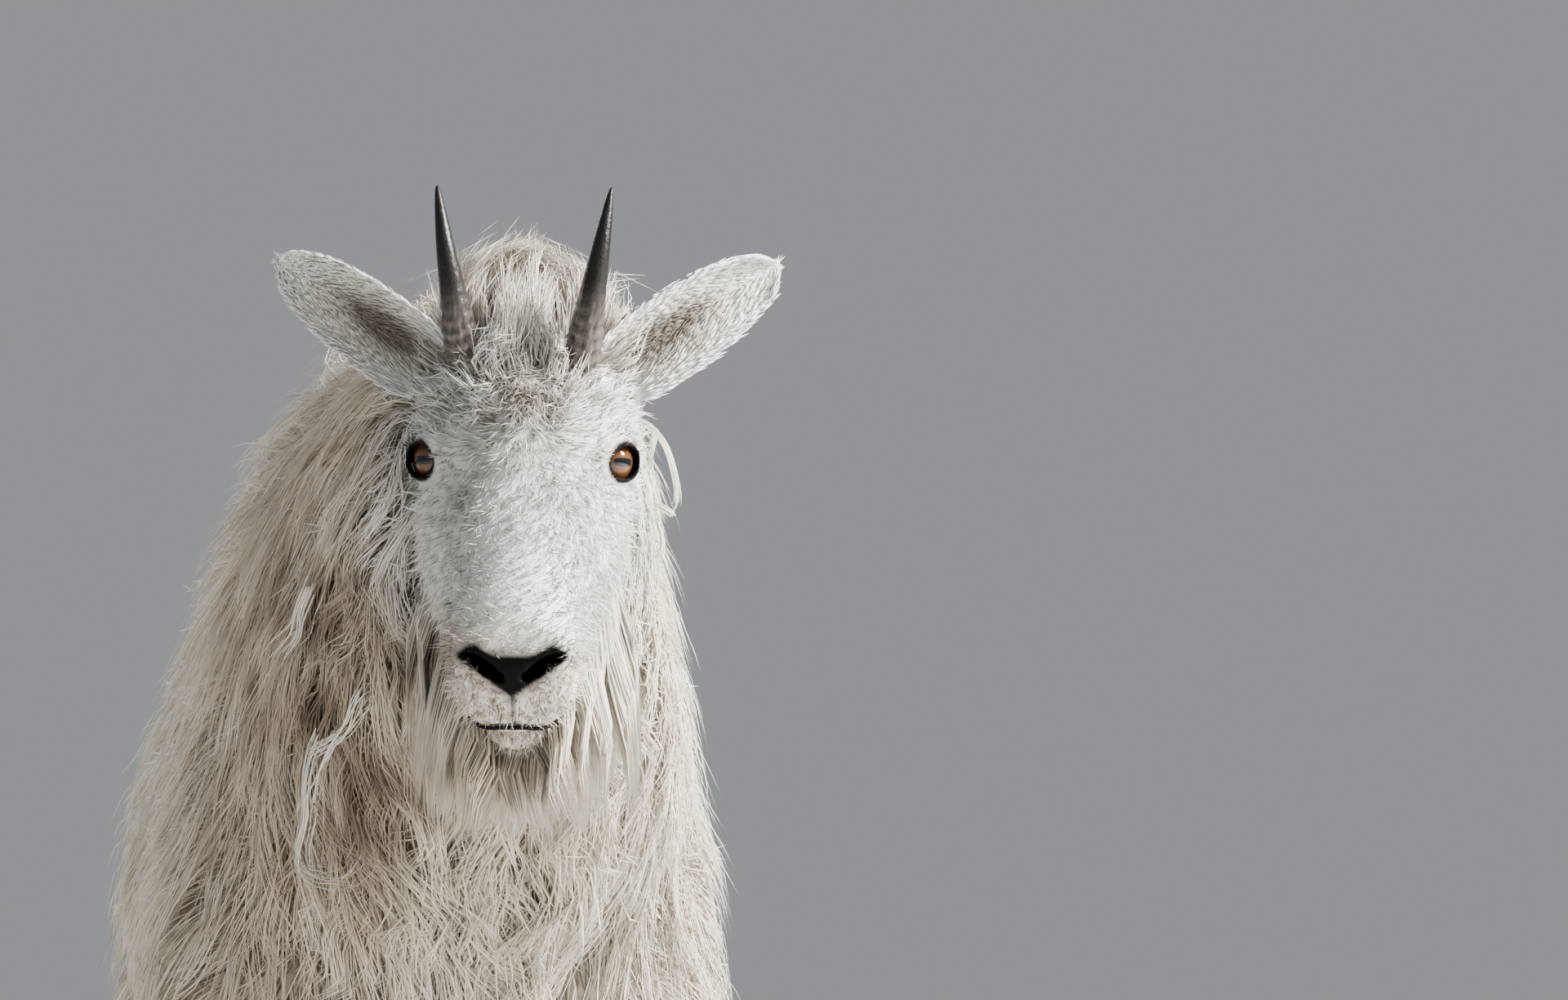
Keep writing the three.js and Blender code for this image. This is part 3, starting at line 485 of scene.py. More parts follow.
def tube(rings, ends):
    """Points and triangles of a closed tube: rings of points, and a middle point for each end."""
    rows, ring = rings.shape[:2]
    quads = ring_quads(rows, ring)
    k, last = np.arange(ring), (rows - 1) * ring
    after, tip = (k + 1) % ring, np.full(ring, rows * ring)
    caps = [np.c_[k, after, tip], np.c_[last + after, last + k, tip + 1]]
    points = np.vstack([rings.reshape(-1, 3), *ends])
    return points, outward(points, np.vstack([quads[:, [0, 1, 2]], quads[:, [0, 2, 3]], *caps]))


def head_field(q):
    """Distance field of the head in its own frame."""
    side = np.abs(q[:, 0])
    mirrored = np.c_[side, q[:, 1:]]
    value = head.distance(from_head(q)) + 0.0015

    # brow over the eye, cheekbone, wing of the nostril, chin, upper lip: place, half sizes, width of the blend
    for at, size, k in (
        ((0.040, 0.004, 0.022), (0.016, 0.026, 0.012), 0.016),
        ((0.041, 0.034, -0.020), (0.012, 0.034, 0.011), 0.016),
        ((0.022, 0.152, -0.007), (0.013, 0.018, 0.013), 0.01),
        ((0.0, 0.142, -0.069), (0.021, 0.020, 0.013), 0.01),
        ((0.018, 0.150, -0.034), (0.016, 0.018, 0.014), 0.01),
    ):
        lump = (np.linalg.norm((mirrored - at) / size, axis=1) - 1) * min(size)
        value = smooth_min(value, lump, k)
    hollow = np.linalg.norm(mirrored - (0.070, 0.050, 0.034), axis=1) - 0.034  # the dip in front of the eye
    value = -smooth_min(-value, hollow, 0.012)
    opening, far = almond(mirrored, 1)
    value = smooth_min(value, far - LID_R, 0.004)
    rim = np.hypot((opening - 1.08) * 0.006, far - LID_R) - 0.0021
    value = smooth_min(value, rim, 0.002)
    value = np.maximum(value, EYE_R + 0.0004 - far)
    value = np.maximum(value, np.where(far < LID_R + 0.006, 0.006 * (1 - opening), -1))
    # nostril: a comma that starts near the middle and turns up and out
    t = np.clip((side - 0.008) / 0.022, 0, 1)
    wide = 0.0042 * np.sin(np.pi * np.clip(0.15 + 0.85 * t, 0, 1)) ** 0.6 + 0.0005
    slit = np.hypot(side - 0.008 - 0.022 * t, fall(q) - 0.1280 + 0.0125 * t**0.8) - wide
    value = np.maximum(value, -np.maximum(slit, 0.150 - 0.9 * (side - 0.008) - q[:, 1]))
    # line of the mouth, and the groove under the nose
    mouth = np.maximum(np.abs(q[:, 2] - mouth_line(q)) - 0.0019, 0.098 - q[:, 1])
    value = np.maximum(value, -np.maximum(mouth, -0.0055 - value))
    groove = np.maximum(side - 0.0011, np.abs(q[:, 2] + 0.033) - 0.011)
    return np.maximum(value, -np.maximum(groove, -0.0025 - value))


SKIN_STEP = 0.009
HEAD_STEP = 0.00165
skin_points, skin_quads = level_mesh(field, (-0.24, -0.53, 0.02), (0.25, 0.82, 0.90), SKIN_STEP, -0.004)
skin_quads = outward(skin_points, skin_quads)
head_points, head_quads = level_mesh(head_field, (-0.082, -0.135, -0.115), (0.082, 0.190, 0.080), HEAD_STEP)
head_points = from_head(head_points)
head_quads = outward(head_points, head_quads)

# Ears: leaves of skin over gristle with a hollow front, cut from the same line as the solids. Each is one
# ring of points, half of them behind, drawn along the line; it is part of the skin's mesh.
HORN_LINE = np.array([[31, -24, 30], [34, -26, 62], [39, -36, 92], [44.5, -54, 118], [50, -82, 140]]) * MM
EAR_LINE = np.array([[52, -50, 30], [72, -58, 44], [98, -72, 56], [122, -86, 64], [143, -98, 68]]) * MM
EAR_ROWS, EAR_HALF = 40, 16  # rings, and points of one on each face


def curve(points, t):
    """Catmull-Rom spline through the points at t from 0 to 1."""
    n = len(points) - 1
    pad = np.vstack([2 * points[0] - points[1], points, 2 * points[-1] - points[-2]])
    s = np.clip(np.asarray(t, float) * n, 0, n - 1e-6)
    i = s.astype(int)
    u = (s - i)[..., None]
    p0, p1, p2, p3 = pad[i], pad[i + 1], pad[i + 2], pad[i + 3]
    value = 2 * p1 + (p2 - p0) * u + (2 * p0 - 5 * p1 + 4 * p2 - p3) * u**2
    return 0.5 * (value + (3 * p1 - p0 - 3 * p2 + p3) * u**3)


def ear_point(t, u, depth, mirror):
    """World point of the ear at t along it and u from -1 to 1 across; depth is how far behind its front face."""
    line = EAR_LINE * (mirror, 1, 1)
    at, ahead = curve(line, t), curve(line, np.minimum(t + 0.01, 1)) - curve(line, np.maximum(t - 0.01, 0))
    tangent = unit(ahead)
    faces = np.array((mirror * -0.12, 0.9, 0.15))
    front = unit(faces - tangent * (tangent @ faces)[..., None])
    across = unit(np.cross(front, tangent)) * -mirror
    blunt = np.sqrt(np.maximum(1 - (np.maximum(t - 0.86, 0) / 0.14) ** 2, 0.0009))
    half = 0.026 * np.sin(np.pi * np.minimum(1, 0.30 + 0.61 * t)) ** 0.75
    half = half * (1 - 0.1 * ramp(t, 0.1, 0.0)) * blunt
    cup = 0.015 * (1 - 0.62 * t)
    rise = cup * u * u * blunt - depth * blunt * (1 - 0.75 * u * u)
    return from_head(at + across * (half * u)[..., None] + front * rise[..., None])


def ear_grid():
    """How far along each point lies, whether it is behind, and its place across from -1 to 1."""
    t, k = np.meshgrid(np.linspace(0, 1, EAR_ROWS), np.arange(2 * EAR_HALF), indexing="ij")
    back = k < EAR_HALF
    return t, back, np.where(back, k / (EAR_HALF - 1) * 2 - 1, 1 - (k - EAR_HALF) / (EAR_HALF - 1) * 2)


def ear_mesh(mirror):
    t, back, u = ear_grid()
    points = ear_point(t, u, np.where(back, 0.0045, -0.0004), mirror).reshape(-1, 3)
    quads = ring_quads(EAR_ROWS, 2 * EAR_HALF)
    return points, quads if mirror > 0 else quads[:, ::-1]


parts = [(skin_points, skin_quads), (head_points, head_quads), ear_mesh(1), ear_mesh(-1)]
offsets = np.cumsum([0, *[len(p) for p, _ in parts]])
all_points = np.vstack([p for p, _ in parts])
all_quads = np.vstack([q + o for (_, q), o in zip(parts, offsets)])
skin_tint = marking(all_points)
# painted shade under the coat: the skin of trunk, neck and legs darker than the marking
skin_tint[: len(skin_points)] *= 0.85
t, back, u = ear_grid()
cupped = np.where(back, 0, 1 - u**2) * bell((t - 0.30) / 0.26)
skin_tint[offsets[2] :] *= 1 - 0.8 * np.tile(cupped.ravel(), 2)[:, None]
dark = bare(all_points)[:, None]
skin_tint = skin_tint * (1 - dark) + SOOT * 0.2 * dark
skin = new_object("skin", all_points, all_quads, HIDE, skin_tint)
FLESH = ["head", "neck", "shoulders", "barrel", "rump", "tail", "beard", "ear_left", "ear_right"]
FLESH += [f"{part}_{name}" for name in STAGGER for part in ("thigh", "shank")]
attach(skin, "root")
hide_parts(*FLESH)


# Coat. Each lock is a clump of flat tapered strands that follow one path along the lie of the hair
# and draw together at its tip; short fur is single tufts.
STRAND_TRIS = 190000  # at most, in one piece
ROOT_DEPTH = 0.012
FLYAWAY, DRIFT = 0.0028, 0.0050  # spread of the tips outwards and sideways


def unwrap(p):
    """Place of world points on an unwrap of the skin: one tile a form, along it and round it."""
    far = np.stack([form.distance(p) for form in TILES])
    nearest = far.argmin(0)
    uv = np.zeros((len(p), 2))
    for k, form in enumerate(TILES):
        mine = nearest == k
        q = form.local(p[mine])
        side, up, *_ = form.section(np.clip(q[:, 1], form.rows[0, 0], form.rows[-1, 0]))
        along = (q[:, 1] - form.rows[0, 0]) / (form.rows[-1, 0] - form.rows[0, 0])
        angle = np.arctan2(q[:, 0] - side, q[:, 2] - up) / (2 * np.pi) + 0.5
        tile = np.array((k % 3, k // 3))
        uv[mine] = (tile + 0.03 + 0.94 * np.clip(np.c_[along, angle], 0, 1)) / 3
    return uv


def strands(name, path, normal, half, colour, thick=0.4):
    """Closed three-sided strands along paths (steps, strands, 3), tapering to a point."""
    steps, count = path.shape[:2]
    rings = steps - 1
    tangent = unit(np.gradient(path, axis=0))
    side = unit(np.cross(tangent, normal[None]))
    out = unit(np.cross(side, tangent))
    s = np.linspace(0, 1, steps)[:, None, None]
    taper = (1 - s) ** 0.6 * (0.75 + 0.5 * np.minimum(s * 3, 1))
    w = half[None, :, None] * taper
    low = path - out * w * thick * 0.5
    corners = np.stack([low - side * w, low + side * w, path + out * w * thick], 2)[:rings]
    points = np.concatenate([corners.transpose(1, 0, 2, 3).reshape(count, rings * 3, 3), path[-1][:, None]], 1)
    faces = []
    for r in range(rings - 1):
        for k in range(3):
            a, b = r * 3 + k, r * 3 + (k + 1) % 3
            faces += [[a, b, b + 3], [a, b + 3, a + 3]]
    top = (rings - 1) * 3
    faces += [[top + k, top + (k + 1) % 3, rings * 3] for k in range(3)] + [[2, 1, 0]]
    faces = np.array(faces)
    root_uv = unwrap(path[0])
    vertex_count = rings * 3 + 1
    spots = np.stack([np.tile([-1, 1, 0], rings), np.repeat(np.linspace(-1, 1, rings), 3)], 1)
    spots = np.vstack([spots, [0, 1.2]]) * 0.0013
    batch = STRAND_TRIS // len(faces)
    for n, start in enumerate(range(0, count, batch)):
        chosen = slice(start, min(start + batch, count))
        size = chosen.stop - chosen.start
        index = (faces[None] + (np.arange(size) * vertex_count)[:, None, None]).reshape(-1, 3)
        uv = (root_uv[chosen, None] + spots[None]).reshape(-1, 2)
        tone = colour[:, chosen].transpose(1, 0, 2)
        tint = np.concatenate([np.repeat(tone[:, :rings], 3, axis=1), tone[:, -1:]], 1).reshape(-1, 3)
        piece = new_object(f"{name}_{n + 1}", points[chosen].reshape(-1, 3), index, FUR, tint, uv=uv)
        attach(piece, "root")


def scatter(points, quads, count, weight):
    """Random points on a mesh, as many to an area as the weight of its faces asks."""
    a, b, c, d = (points[quads[:, k]] for k in range(4))
    area = np.linalg.norm(np.cross(c - a, d - b), axis=1) / 2
    share = area * weight((a + b + c + d) / 4)
    chosen = rng.choice(len(quads), count, p=share / share.sum())
    u, v = rng.random((2, count, 1))
    return (a[chosen] * (1 - u) + b[chosen] * u) * (1 - v) + (d[chosen] * (1 - u) + c[chosen] * u) * v


def march(root, lie, long, tip, of, steps, sweep=0.0):
    """Paths that leave the skin at the root and follow the lie over the field, rising to the tip's height."""
    path = [settle(root, -ROOT_DEPTH, of)]
    here = settle(root, 0.0, of)
    for k in range(1, steps):
        s = k / (steps - 1)
        normal = unit(gradient(here, of))
        way = lie(here, normal)
        way = unit(way - normal * (way * normal).sum(1, keepdims=True))
        way = unit(way + np.cross(normal, way) * (sweep * s)[:, None])
        height = tip * np.sin(np.pi / 2 * min(1, 0.25 + 0.8 * s))
        here = settle(here + way * (long / (steps - 1))[:, None], height, of, 2)
        path.append(here)
    return np.stack(path)


def clumped(roots, clump_count, lie, long, tip, of, steps, pull, wave, sweep=0.5):
    """Strand paths that share their clump's path and close in on it towards the tip."""
    centre = roots[rng.choice(len(roots), clump_count, replace=False)]
    tree = kdtree.KDTree(clump_count)
    for k, p in enumerate(centre):
        tree.insert(p, k)
    tree.balance()
    mine = np.array([tree.find(p)[1] for p in roots])
    clump_long = long(centre) * rng.uniform(0.75, 1.2, clump_count)
    height = tip(centre) * rng.uniform(0.7, 1.1, clump_count)
    path = march(centre, lie, clump_long, height, of, steps, rng.uniform(-sweep, sweep, clump_count))
    normal = unit(gradient(centre, of))
    s = np.linspace(0, 1, steps)[:, None]
    phase = rng.uniform(0, 6.28, clump_count)
    side = unit(np.cross(unit(path[-1] - path[0]), normal))
    sway = np.sin(s * rng.uniform(5, 11, clump_count) + phase) - np.sin(phase)
    path = path + side[None] * (sway * wave * np.minimum(1, s * 2))[..., None]
    count = len(roots)
    offset = roots - centre[mine]
    keep = 1 - np.clip(pull * rng.uniform(0.7, 1.15, count), 0, 0.97) * s**0.9
    own = path[:, mine] + offset[None] * keep[..., None]
    short = rng.uniform(0.72, 1.0, count)
    grid = s[:, 0] * (steps - 1)
    at = grid[:, None] * short[None]
    low = np.minimum(at.astype(int), steps - 2)
    part = (at - low)[..., None]
    index = np.arange(count)[None]
    own = own[low, index] * (1 - part) + own[low + 1, index] * part
    lift = np.clip(rng.standard_t(3, count), -1.5, 4) * FLYAWAY
    drift = rng.normal(0, 1, count) * DRIFT
    own = own + normal[mine][None] * (lift * s**1.2)[..., None] + side[mine][None] * (drift * s**1.3)[..., None]
    return own, normal[mine], mine


def shade(path, mine, dark=0.5, spread=0.12, grizzle=0.10):
    """Colours along strands: the marking where each point lies, darker and browner in the depth as painted shade, each
    clump its own.
    """
    base = np.stack([marking(points) for points in path])
    clump = np.random.default_rng(9).normal(0, 1, mine.max() + 1)[mine]
    own = rng.normal(0, 1, path.shape[1])
    light = 1 + spread * clump * 0.7 + spread * own * 0.6
    light = light * np.where(rng.random(path.shape[1]) < grizzle, 0.6, 1)
    s = np.linspace(0, 1, len(path))[:, None, None]
    # painted shade: darker and browner towards the roots, a little lighter than the marking at the tips
    depth = dark + (1.10 - dark) * np.minimum(1, s * 1.25) ** 0.8
    warm = np.array((1.0, 0.94, 0.85)) ** (1.2 * (1 - s))
    return np.clip(base * light[None, :, None] * depth * warm, 0.004, 0.88)


def trunk_lie(here, normal):
    """Back and down over the trunk, straight down on the chest and the legs, up and back on the crest."""
    x, y, z = here.T
    chest, top = ramp(-y, -0.02, 0.16), ramp(normal[:, 2], 0.35, 0.9)
    low = 1 - ramp(z, 0.36, 0.52)
    back = (1 + (0.35 - 1) * chest * (1 - top)) * (1 - 0.85 * low)
    down = (0.75 + 0.5 * chest) * (1 - top) - 0.15 * top + low
    behind = ramp(y, 0.66, 0.73)
    back, down = back * (1 - 0.85 * behind), down + 0.9 * behind
    swirl = np.stack([waves(here, size, seed) for size, seed in ((0.10, 21), (0.12, 22), (0.10, 23))], 1)
    return np.c_[x * 0.6, back, -down] + swirl * (0.35 + 0.35 * chest * (1 - low))[:, None]


def coat_tip(p):
    """How far the tips of the locks stand off the skin: more on hump and throat, less on legs and by the cheek."""
    x, y, z = p.T
    hump = ramp(z, 0.76, 0.83) * ramp(y, -0.48, -0.38) * (1 - ramp(y, 0.16, 0.30))
    throat = ramp(-y, 0.04, 0.16) * (1 - ramp(z, 0.58, 0.72))
    leg = 1 - ramp(z, 0.36, 0.50)
    bulge = ramp(-x, 0.04, 0.08) * ramp(z, 0.66, 0.74) * (1 - ramp(y, 0.0, 0.15))
    cheek = ramp(x, 0.03, 0.08) * ramp(z, 0.60, 0.74) * (1 - ramp(y, -0.28, -0.14))
    return 0.029 + 0.012 * hump + 0.005 * throat - 0.006 * leg - 0.025 * cheek + 0.012 * bulge


def coat_long(p):
    """Length of the locks: shorter towards the head and the knees."""
    _, y, z = p.T
    slim = 1 - 0.3 * ramp(-y, 0.2, 0.4)
    return 0.118 * slim * (1 - 0.25 * (1 - ramp(z, 0.30, 0.45)))


SHARE = 1.0  # of the strands
LOCK_SHARE = max(SHARE, 0.5)
KNEES = 0.275
FRONT = 0.10  # ahead of it, where the photo looks, the strands are finer


def coated(p):
    """Share of long coat at world points: none below the knees or inside the head, more on neck and chest."""
    _, y, z = p.T
    gap = head.distance(p)
    thick = 1 + 0.8 * ramp(-y, 0.1, 0.3) + 1.2 * bell((gap - 0.01) / 0.03)
    return ramp(z, KNEES, KNEES + 0.02) * thick * (gap > -0.012)


def wool_long(p):
    return coat_long(p) * 0.5


def wool_tip(p):
    return coat_tip(p) * 0.85


def ahead(p):
    return coated(p) * (p[:, 1] < FRONT)


def behind(p):
    return coated(p) * (p[:, 1] >= FRONT)


def shins(p):
    return 1 - ramp(p[:, 2], KNEES + 0.01, KNEES + 0.04)


def down_lie(here, normal):
    return np.tile((0.0, 0.15, -1.0), (len(here), 1))


def flat(value):
    """A measure that is the same at every point."""
    return lambda p: np.full(len(p), value)


LONG, CLOSE = (0.6, "coat"), (0.7, "short_fur")  # shade in the depth, and slot
# Locks of guard hair, the curled underwool that fills between them, and the short fur of the lower legs:
# name, strands, locks, steps, where, lie, half widths, length, height of the tips, pull, wave, sweep, look
for name, count, locks, steps, where, lie, half, long, tip, pull, wave, sweep, (dark, slot) in (
    ("coat_front", 17000, 1900, 5, ahead, trunk_lie, (0.0005, 0.00105), coat_long, coat_tip, 0.55, 0.007, 0.6, LONG),
    ("wool_front", 9000, 3000, 4, ahead, trunk_lie, (0.0004, 0.0009), wool_long, wool_tip, 0.35, 0.006, 2.0, LONG),
    ("coat_back", 15500, 1500, 4, behind, trunk_lie, (0.0009, 0.0018), coat_long, coat_tip, 0.55, 0.006, 0.6, LONG),
    ("wool_back", 5000, 1500, 3, behind, trunk_lie, (0.0008, 0.0015), wool_long, wool_tip, 0.35, 0.006, 1.6, LONG),
    ("leg_fur", 6000, 2600, 3, shins, down_lie, (0.0006, 0.0011), flat(0.020), flat(0.0025), 0.5, 0.0008, 0.25, CLOSE),
):
    roots = scatter(skin_points, skin_quads, int(count * SHARE), where)
    path, normal, mine = clumped(roots, int(locks * LOCK_SHARE), lie, long, tip, field, steps, pull, wave, sweep)
    strands(name, path, normal, rng.uniform(*half, len(roots)), shade(path, mine, dark))


# Face: short dense fur that grows out from the forehead, forward down the muzzle and out and back over the
# cheeks, long and upright on the crown. It parts round the lids and horns and leaves nose and lips bare.
def head_level(p):
    return head_field(in_head(p))


def off_horn(q, mirror):
    """Way from a horn's axis to points of the head, square to the axis."""
    d = q - HORN_LINE[0] * (mirror, 1, 1)
    way = unit((HORN_LINE[1] - HORN_LINE[0]) * (mirror, 1, 1))
    return d - way * (d @ way)[:, None]


def by_the_eyes(q):
    """How near a point of the head is to the lids and horns, and the way that leads off from them."""
    near, away = np.zeros(len(q)), np.zeros((len(q), 3))
    for mirror in (1, -1):
        centre, along, up, _ = eye_axes(mirror)
        a, b = (q - centre) @ along, (q - centre) @ up
        lid_gap = np.maximum(np.hypot(a / 1.2, b) - 0.013, 0)
        off = off_horn(q, mirror)
        horn_gap = np.maximum(np.linalg.norm(off, axis=1) - HORN_R, 0)
        own_side = q[:, 0] * mirror > 0
        for mine, way in (
            (bell(lid_gap / 0.008) * own_side, along * a[:, None] + up * b[:, None]),
            (0.75 * bell(horn_gap / 0.007) * own_side, off),
        ):
            away += unit(way) * mine[:, None]
            near += mine
    return np.minimum(near, 1), unit(away)


def face_lie(here, normal):
    """Away from the forehead's whorl, back on the cheeks, up on the crown, and off the lids and horns."""
    q = in_head(here)
    x, y, z = q.T
    near, away = by_the_eyes(q)
    way = q - (0, 0.004, 0.052)
    cheek = 1 - ramp(y, -0.02, 0.05)
    way = unit(way * (1.6, 1, 1)) + np.array((0, -1.1, -0.35)) * cheek[:, None]
    crown = (ramp(z, 0.030, 0.048) * (1 - ramp(y, -0.02, 0.02)))[:, None]
    outer = ramp(np.abs(x), 0.034, 0.048)
    rise = np.c_[x * 4 + 0.7 * np.sign(x) * outer, np.full(len(q), -0.6), np.full(len(q), 1.0)]
    way = way * (1 - crown) + rise * crown
    way = unit(way) * (1 - near)[:, None] + away * near[:, None] * 0.9
    return head_way(way)


def long_parts(q):
    """Shares of the crown's long hair, of its outer sides and of the forehead's tuft."""
    x, y, z = q.T
    crown = ramp(z, 0.034, 0.050) * (1 - ramp(y, -0.015, 0.02))
    outer = ramp(np.abs(x), 0.030, 0.042) * ramp(z, 0.010, 0.030) * (1 - ramp(y, -0.04, -0.01))
    return crown, outer, bell(x / 0.022, (y - 0.012) / 0.018) * (z > 0.02)


def face_long(p):
    """Length of the fur: short on the muzzle, long on nape and crown, trimmed by lids, lips and nose."""
    q = in_head(p)
    _, y, z = q.T
    crown, outer, tuft = long_parts(q)
    near = by_the_eyes(q)[0]
    lip = bell((z - mouth_line(q) - 0.003) / 0.006) * ramp(y, 0.09, 0.12)
    pad = bell(np.maximum(pad_gap(q), 0) / 0.006)
    muzzle, back = ramp(y, 0.05, 0.13), 1 - ramp(y, -0.07, 0.0)
    long = 0.014 - 0.0092 * muzzle + 0.024 * back + 0.026 * crown + 0.013 * tuft
    return long * (1 - 0.55 * near) * (1 - 0.65 * np.maximum(lip * 1.15, pad)) + 0.014 * outer


def face_tip(p):
    """How far the fur's tips stand off the skin."""
    q = in_head(p)
    _, y, _ = q.T
    crown, outer, tuft = long_parts(q)
    muzzle, back = ramp(y, 0.05, 0.12), 1 - ramp(y, -0.08, -0.02)
    rough = 0.85 + 0.35 * waves(p, 0.022, 81)
    return 0.0022 + 0.012 * outer + 0.030 * crown * rough + 0.009 * tuft + 0.009 * back - 0.0012 * muzzle


def furred(p):
    """Where the face carries fur: not on the bare parts, the eyes or the inside of its grooves."""
    q = in_head(p)
    keep = (bare(p) < 0.25) & (np.abs(head_field(q)) < 0.004)
    for mirror in (1, -1):
        value, far = almond(q, mirror, 0.0024)
        keep &= ~((value < 1.15) & (far < 0.03))
        keep &= np.linalg.norm(off_horn(q, mirror), axis=1) > HORN_R
    keep &= (np.abs(q[:, 2] - mouth_line(q) - 0.0020) > 0.0046) | (q[:, 1] < 0.10)
    return keep * (1 + 0.8 * ramp(q[:, 1], 0.02, 0.1))


roots = scatter(head_points, head_quads, int(42000 * SHARE), furred)
tufts = int(9000 * LOCK_SHARE)
path, normal, mine = clumped(roots, tufts, face_lie, face_long, face_tip, head_level, 3, 0.45, 0.0005, 0.35)
path[0] = roots - normal * 0.0025
wide = rng.uniform(0.0003, 0.00065, len(roots))
strands("face_fur", path, normal, wide, shade(path, mine, 0.52, 0.18, 0.24))

# Lips: the dark bare edge of skin along the mouth, a thin tube. Its line is where rays from in front, at
# the mouth's height, first meet the head's form, averaged over seven neighbours.
x = np.linspace(-0.027, 0.027, 49)
y = np.linspace(0.195, 0.08, 231)
at = np.stack(np.broadcast_arrays(x[:, None], y[None], 0.0), -1).reshape(-1, 3)
at[:, 2] = mouth_line(at)
inside = (head.distance(from_head(at)) + 0.0015 < 0.0012).reshape(len(x), -1)
line = at.reshape(len(x), -1, 3)[np.arange(len(x)), inside.argmax(1)]
line[:, 1] = np.convolve(np.pad(line[:, 1], 3, "edge"), np.full(7, 1 / 7), "valid")
line[:, 2] = mouth_line(line)
tangent = unit(np.gradient(line, axis=0))
out = unit(np.cross(tangent, (0, 0, 1.0)))
out = out * np.sign(out[len(x) // 2, 1])
lift = np.cross(out, tangent)
line = line + out * 0.0014
turn = (np.arange(10) / 10 * 2 * np.pi)[None, :, None]
radius = 0.0003 + 0.0011 * np.sqrt(np.maximum(1 - (np.abs(x) / 0.0272) ** 3, 0))[:, None, None]
rings = line[:, None] + (out[:, None] * np.cos(turn) + lift[:, None] * np.sin(turn) * 0.8) * radius
world, tris = tube(from_head(rings), from_head(line[[0, -1]]))
lips = new_object("lips", world, tris, HIDE, np.tile(SOOT * 0.5, (len(world), 1)))
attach(lips, "root")


# Forelock: short woolly hair between the horns that falls forward over the parting. It is a thin second
# layer of curled strands, rooted in a spot on the crown.
def forelock_lie(here, normal):
    q = in_head(here)
    swirl = np.stack([waves(here, 0.018, seed) for seed in (51, 52, 53)], 1)
    return head_way(np.c_[q[:, 0] * 12, np.full(len(q), 1.0), np.full(len(q), -0.3)]) + swirl * 0.9


def between_horns(p):
    q = in_head(p)
    x, _, z = q.T
    return bell(x / 0.018, (fall(q) + 0.046) / 0.013) * (z > 0.02)


roots = scatter(head_points, head_quads, int(1700 * LOCK_SHARE), between_horns)
path, normal, mine = clumped(roots, 240, forelock_lie, flat(0.022), flat(0.010), head_level, 4, 0.45, 0.002, 1.6)
wide = rng.uniform(0.0003, 0.0006, len(roots))
strands("forelock", path, normal, wide, shade(path, mine, 0.6, 0.16))


# Beard: long hair that hangs from the chin and the jaw under its own weight. The strands are drawn
# together into tapering tails that end along one hem.
def bearded(p):
    q = in_head(p)
    _, y, z = q.T
    return (z < -0.046) * ramp(y, -0.03, 0.03) * (bare(p) < 0.2) * (1 - ramp(y, 0.150, 0.160))


def beard_path(roots, steps):
    """The strands fall under their own weight, drawn together into a few tapering tails."""
    count, tails = len(roots), 60
    centre = roots[rng.choice(count, tails, replace=False)]
    mine = np.linalg.norm(roots[:, None] - centre[None], axis=2).argmin(1)
    middle = HEAD_AT[0]
    hem = 0.550 + 0.5 * np.maximum(np.abs(centre[:, 0] - middle) - 0.025, 0) + rng.uniform(-0.008, 0.012, tails)
    long = np.clip(centre[:, 2] - hem, 0.03, 0.13)[mine] * rng.uniform(0.7, 1.05, count)
    s = np.linspace(0, 1, steps)[:, None]
    pull = 1 - 0.45 * s
    phase = rng.uniform(0, 6.28, tails)[mine]
    flare = (centre - centre.mean(0))[mine] * (0.22, 0.05, 0)
    at = centre[mine][None] + (roots - centre[mine])[None] * pull[..., None] + flare[None] * s[..., None]
    curl = [np.sin(s * 6 + phase) - np.sin(phase), np.cos(s * 5 + phase) - np.cos(phase), 0 * s * phase]
    at = at + np.stack(curl, -1) * 0.0035
    at[..., 2] -= s * long
    at[0] += unit(centre.mean(0) + (0, 0, 0.06) - roots) * 0.004
    normal = unit(np.c_[roots[:, 0] - centre[:, 0].mean(), np.full(count, -0.05), np.zeros(count)])
    return at, normal, mine


roots = scatter(head_points, head_quads, int(6500 * LOCK_SHARE), bearded)
path, normal, mine = beard_path(roots, 4)
strands("beard_hair", path, normal, rng.uniform(0.0004, 0.0009, len(roots)), shade(path, mine, 0.72, 0.10))

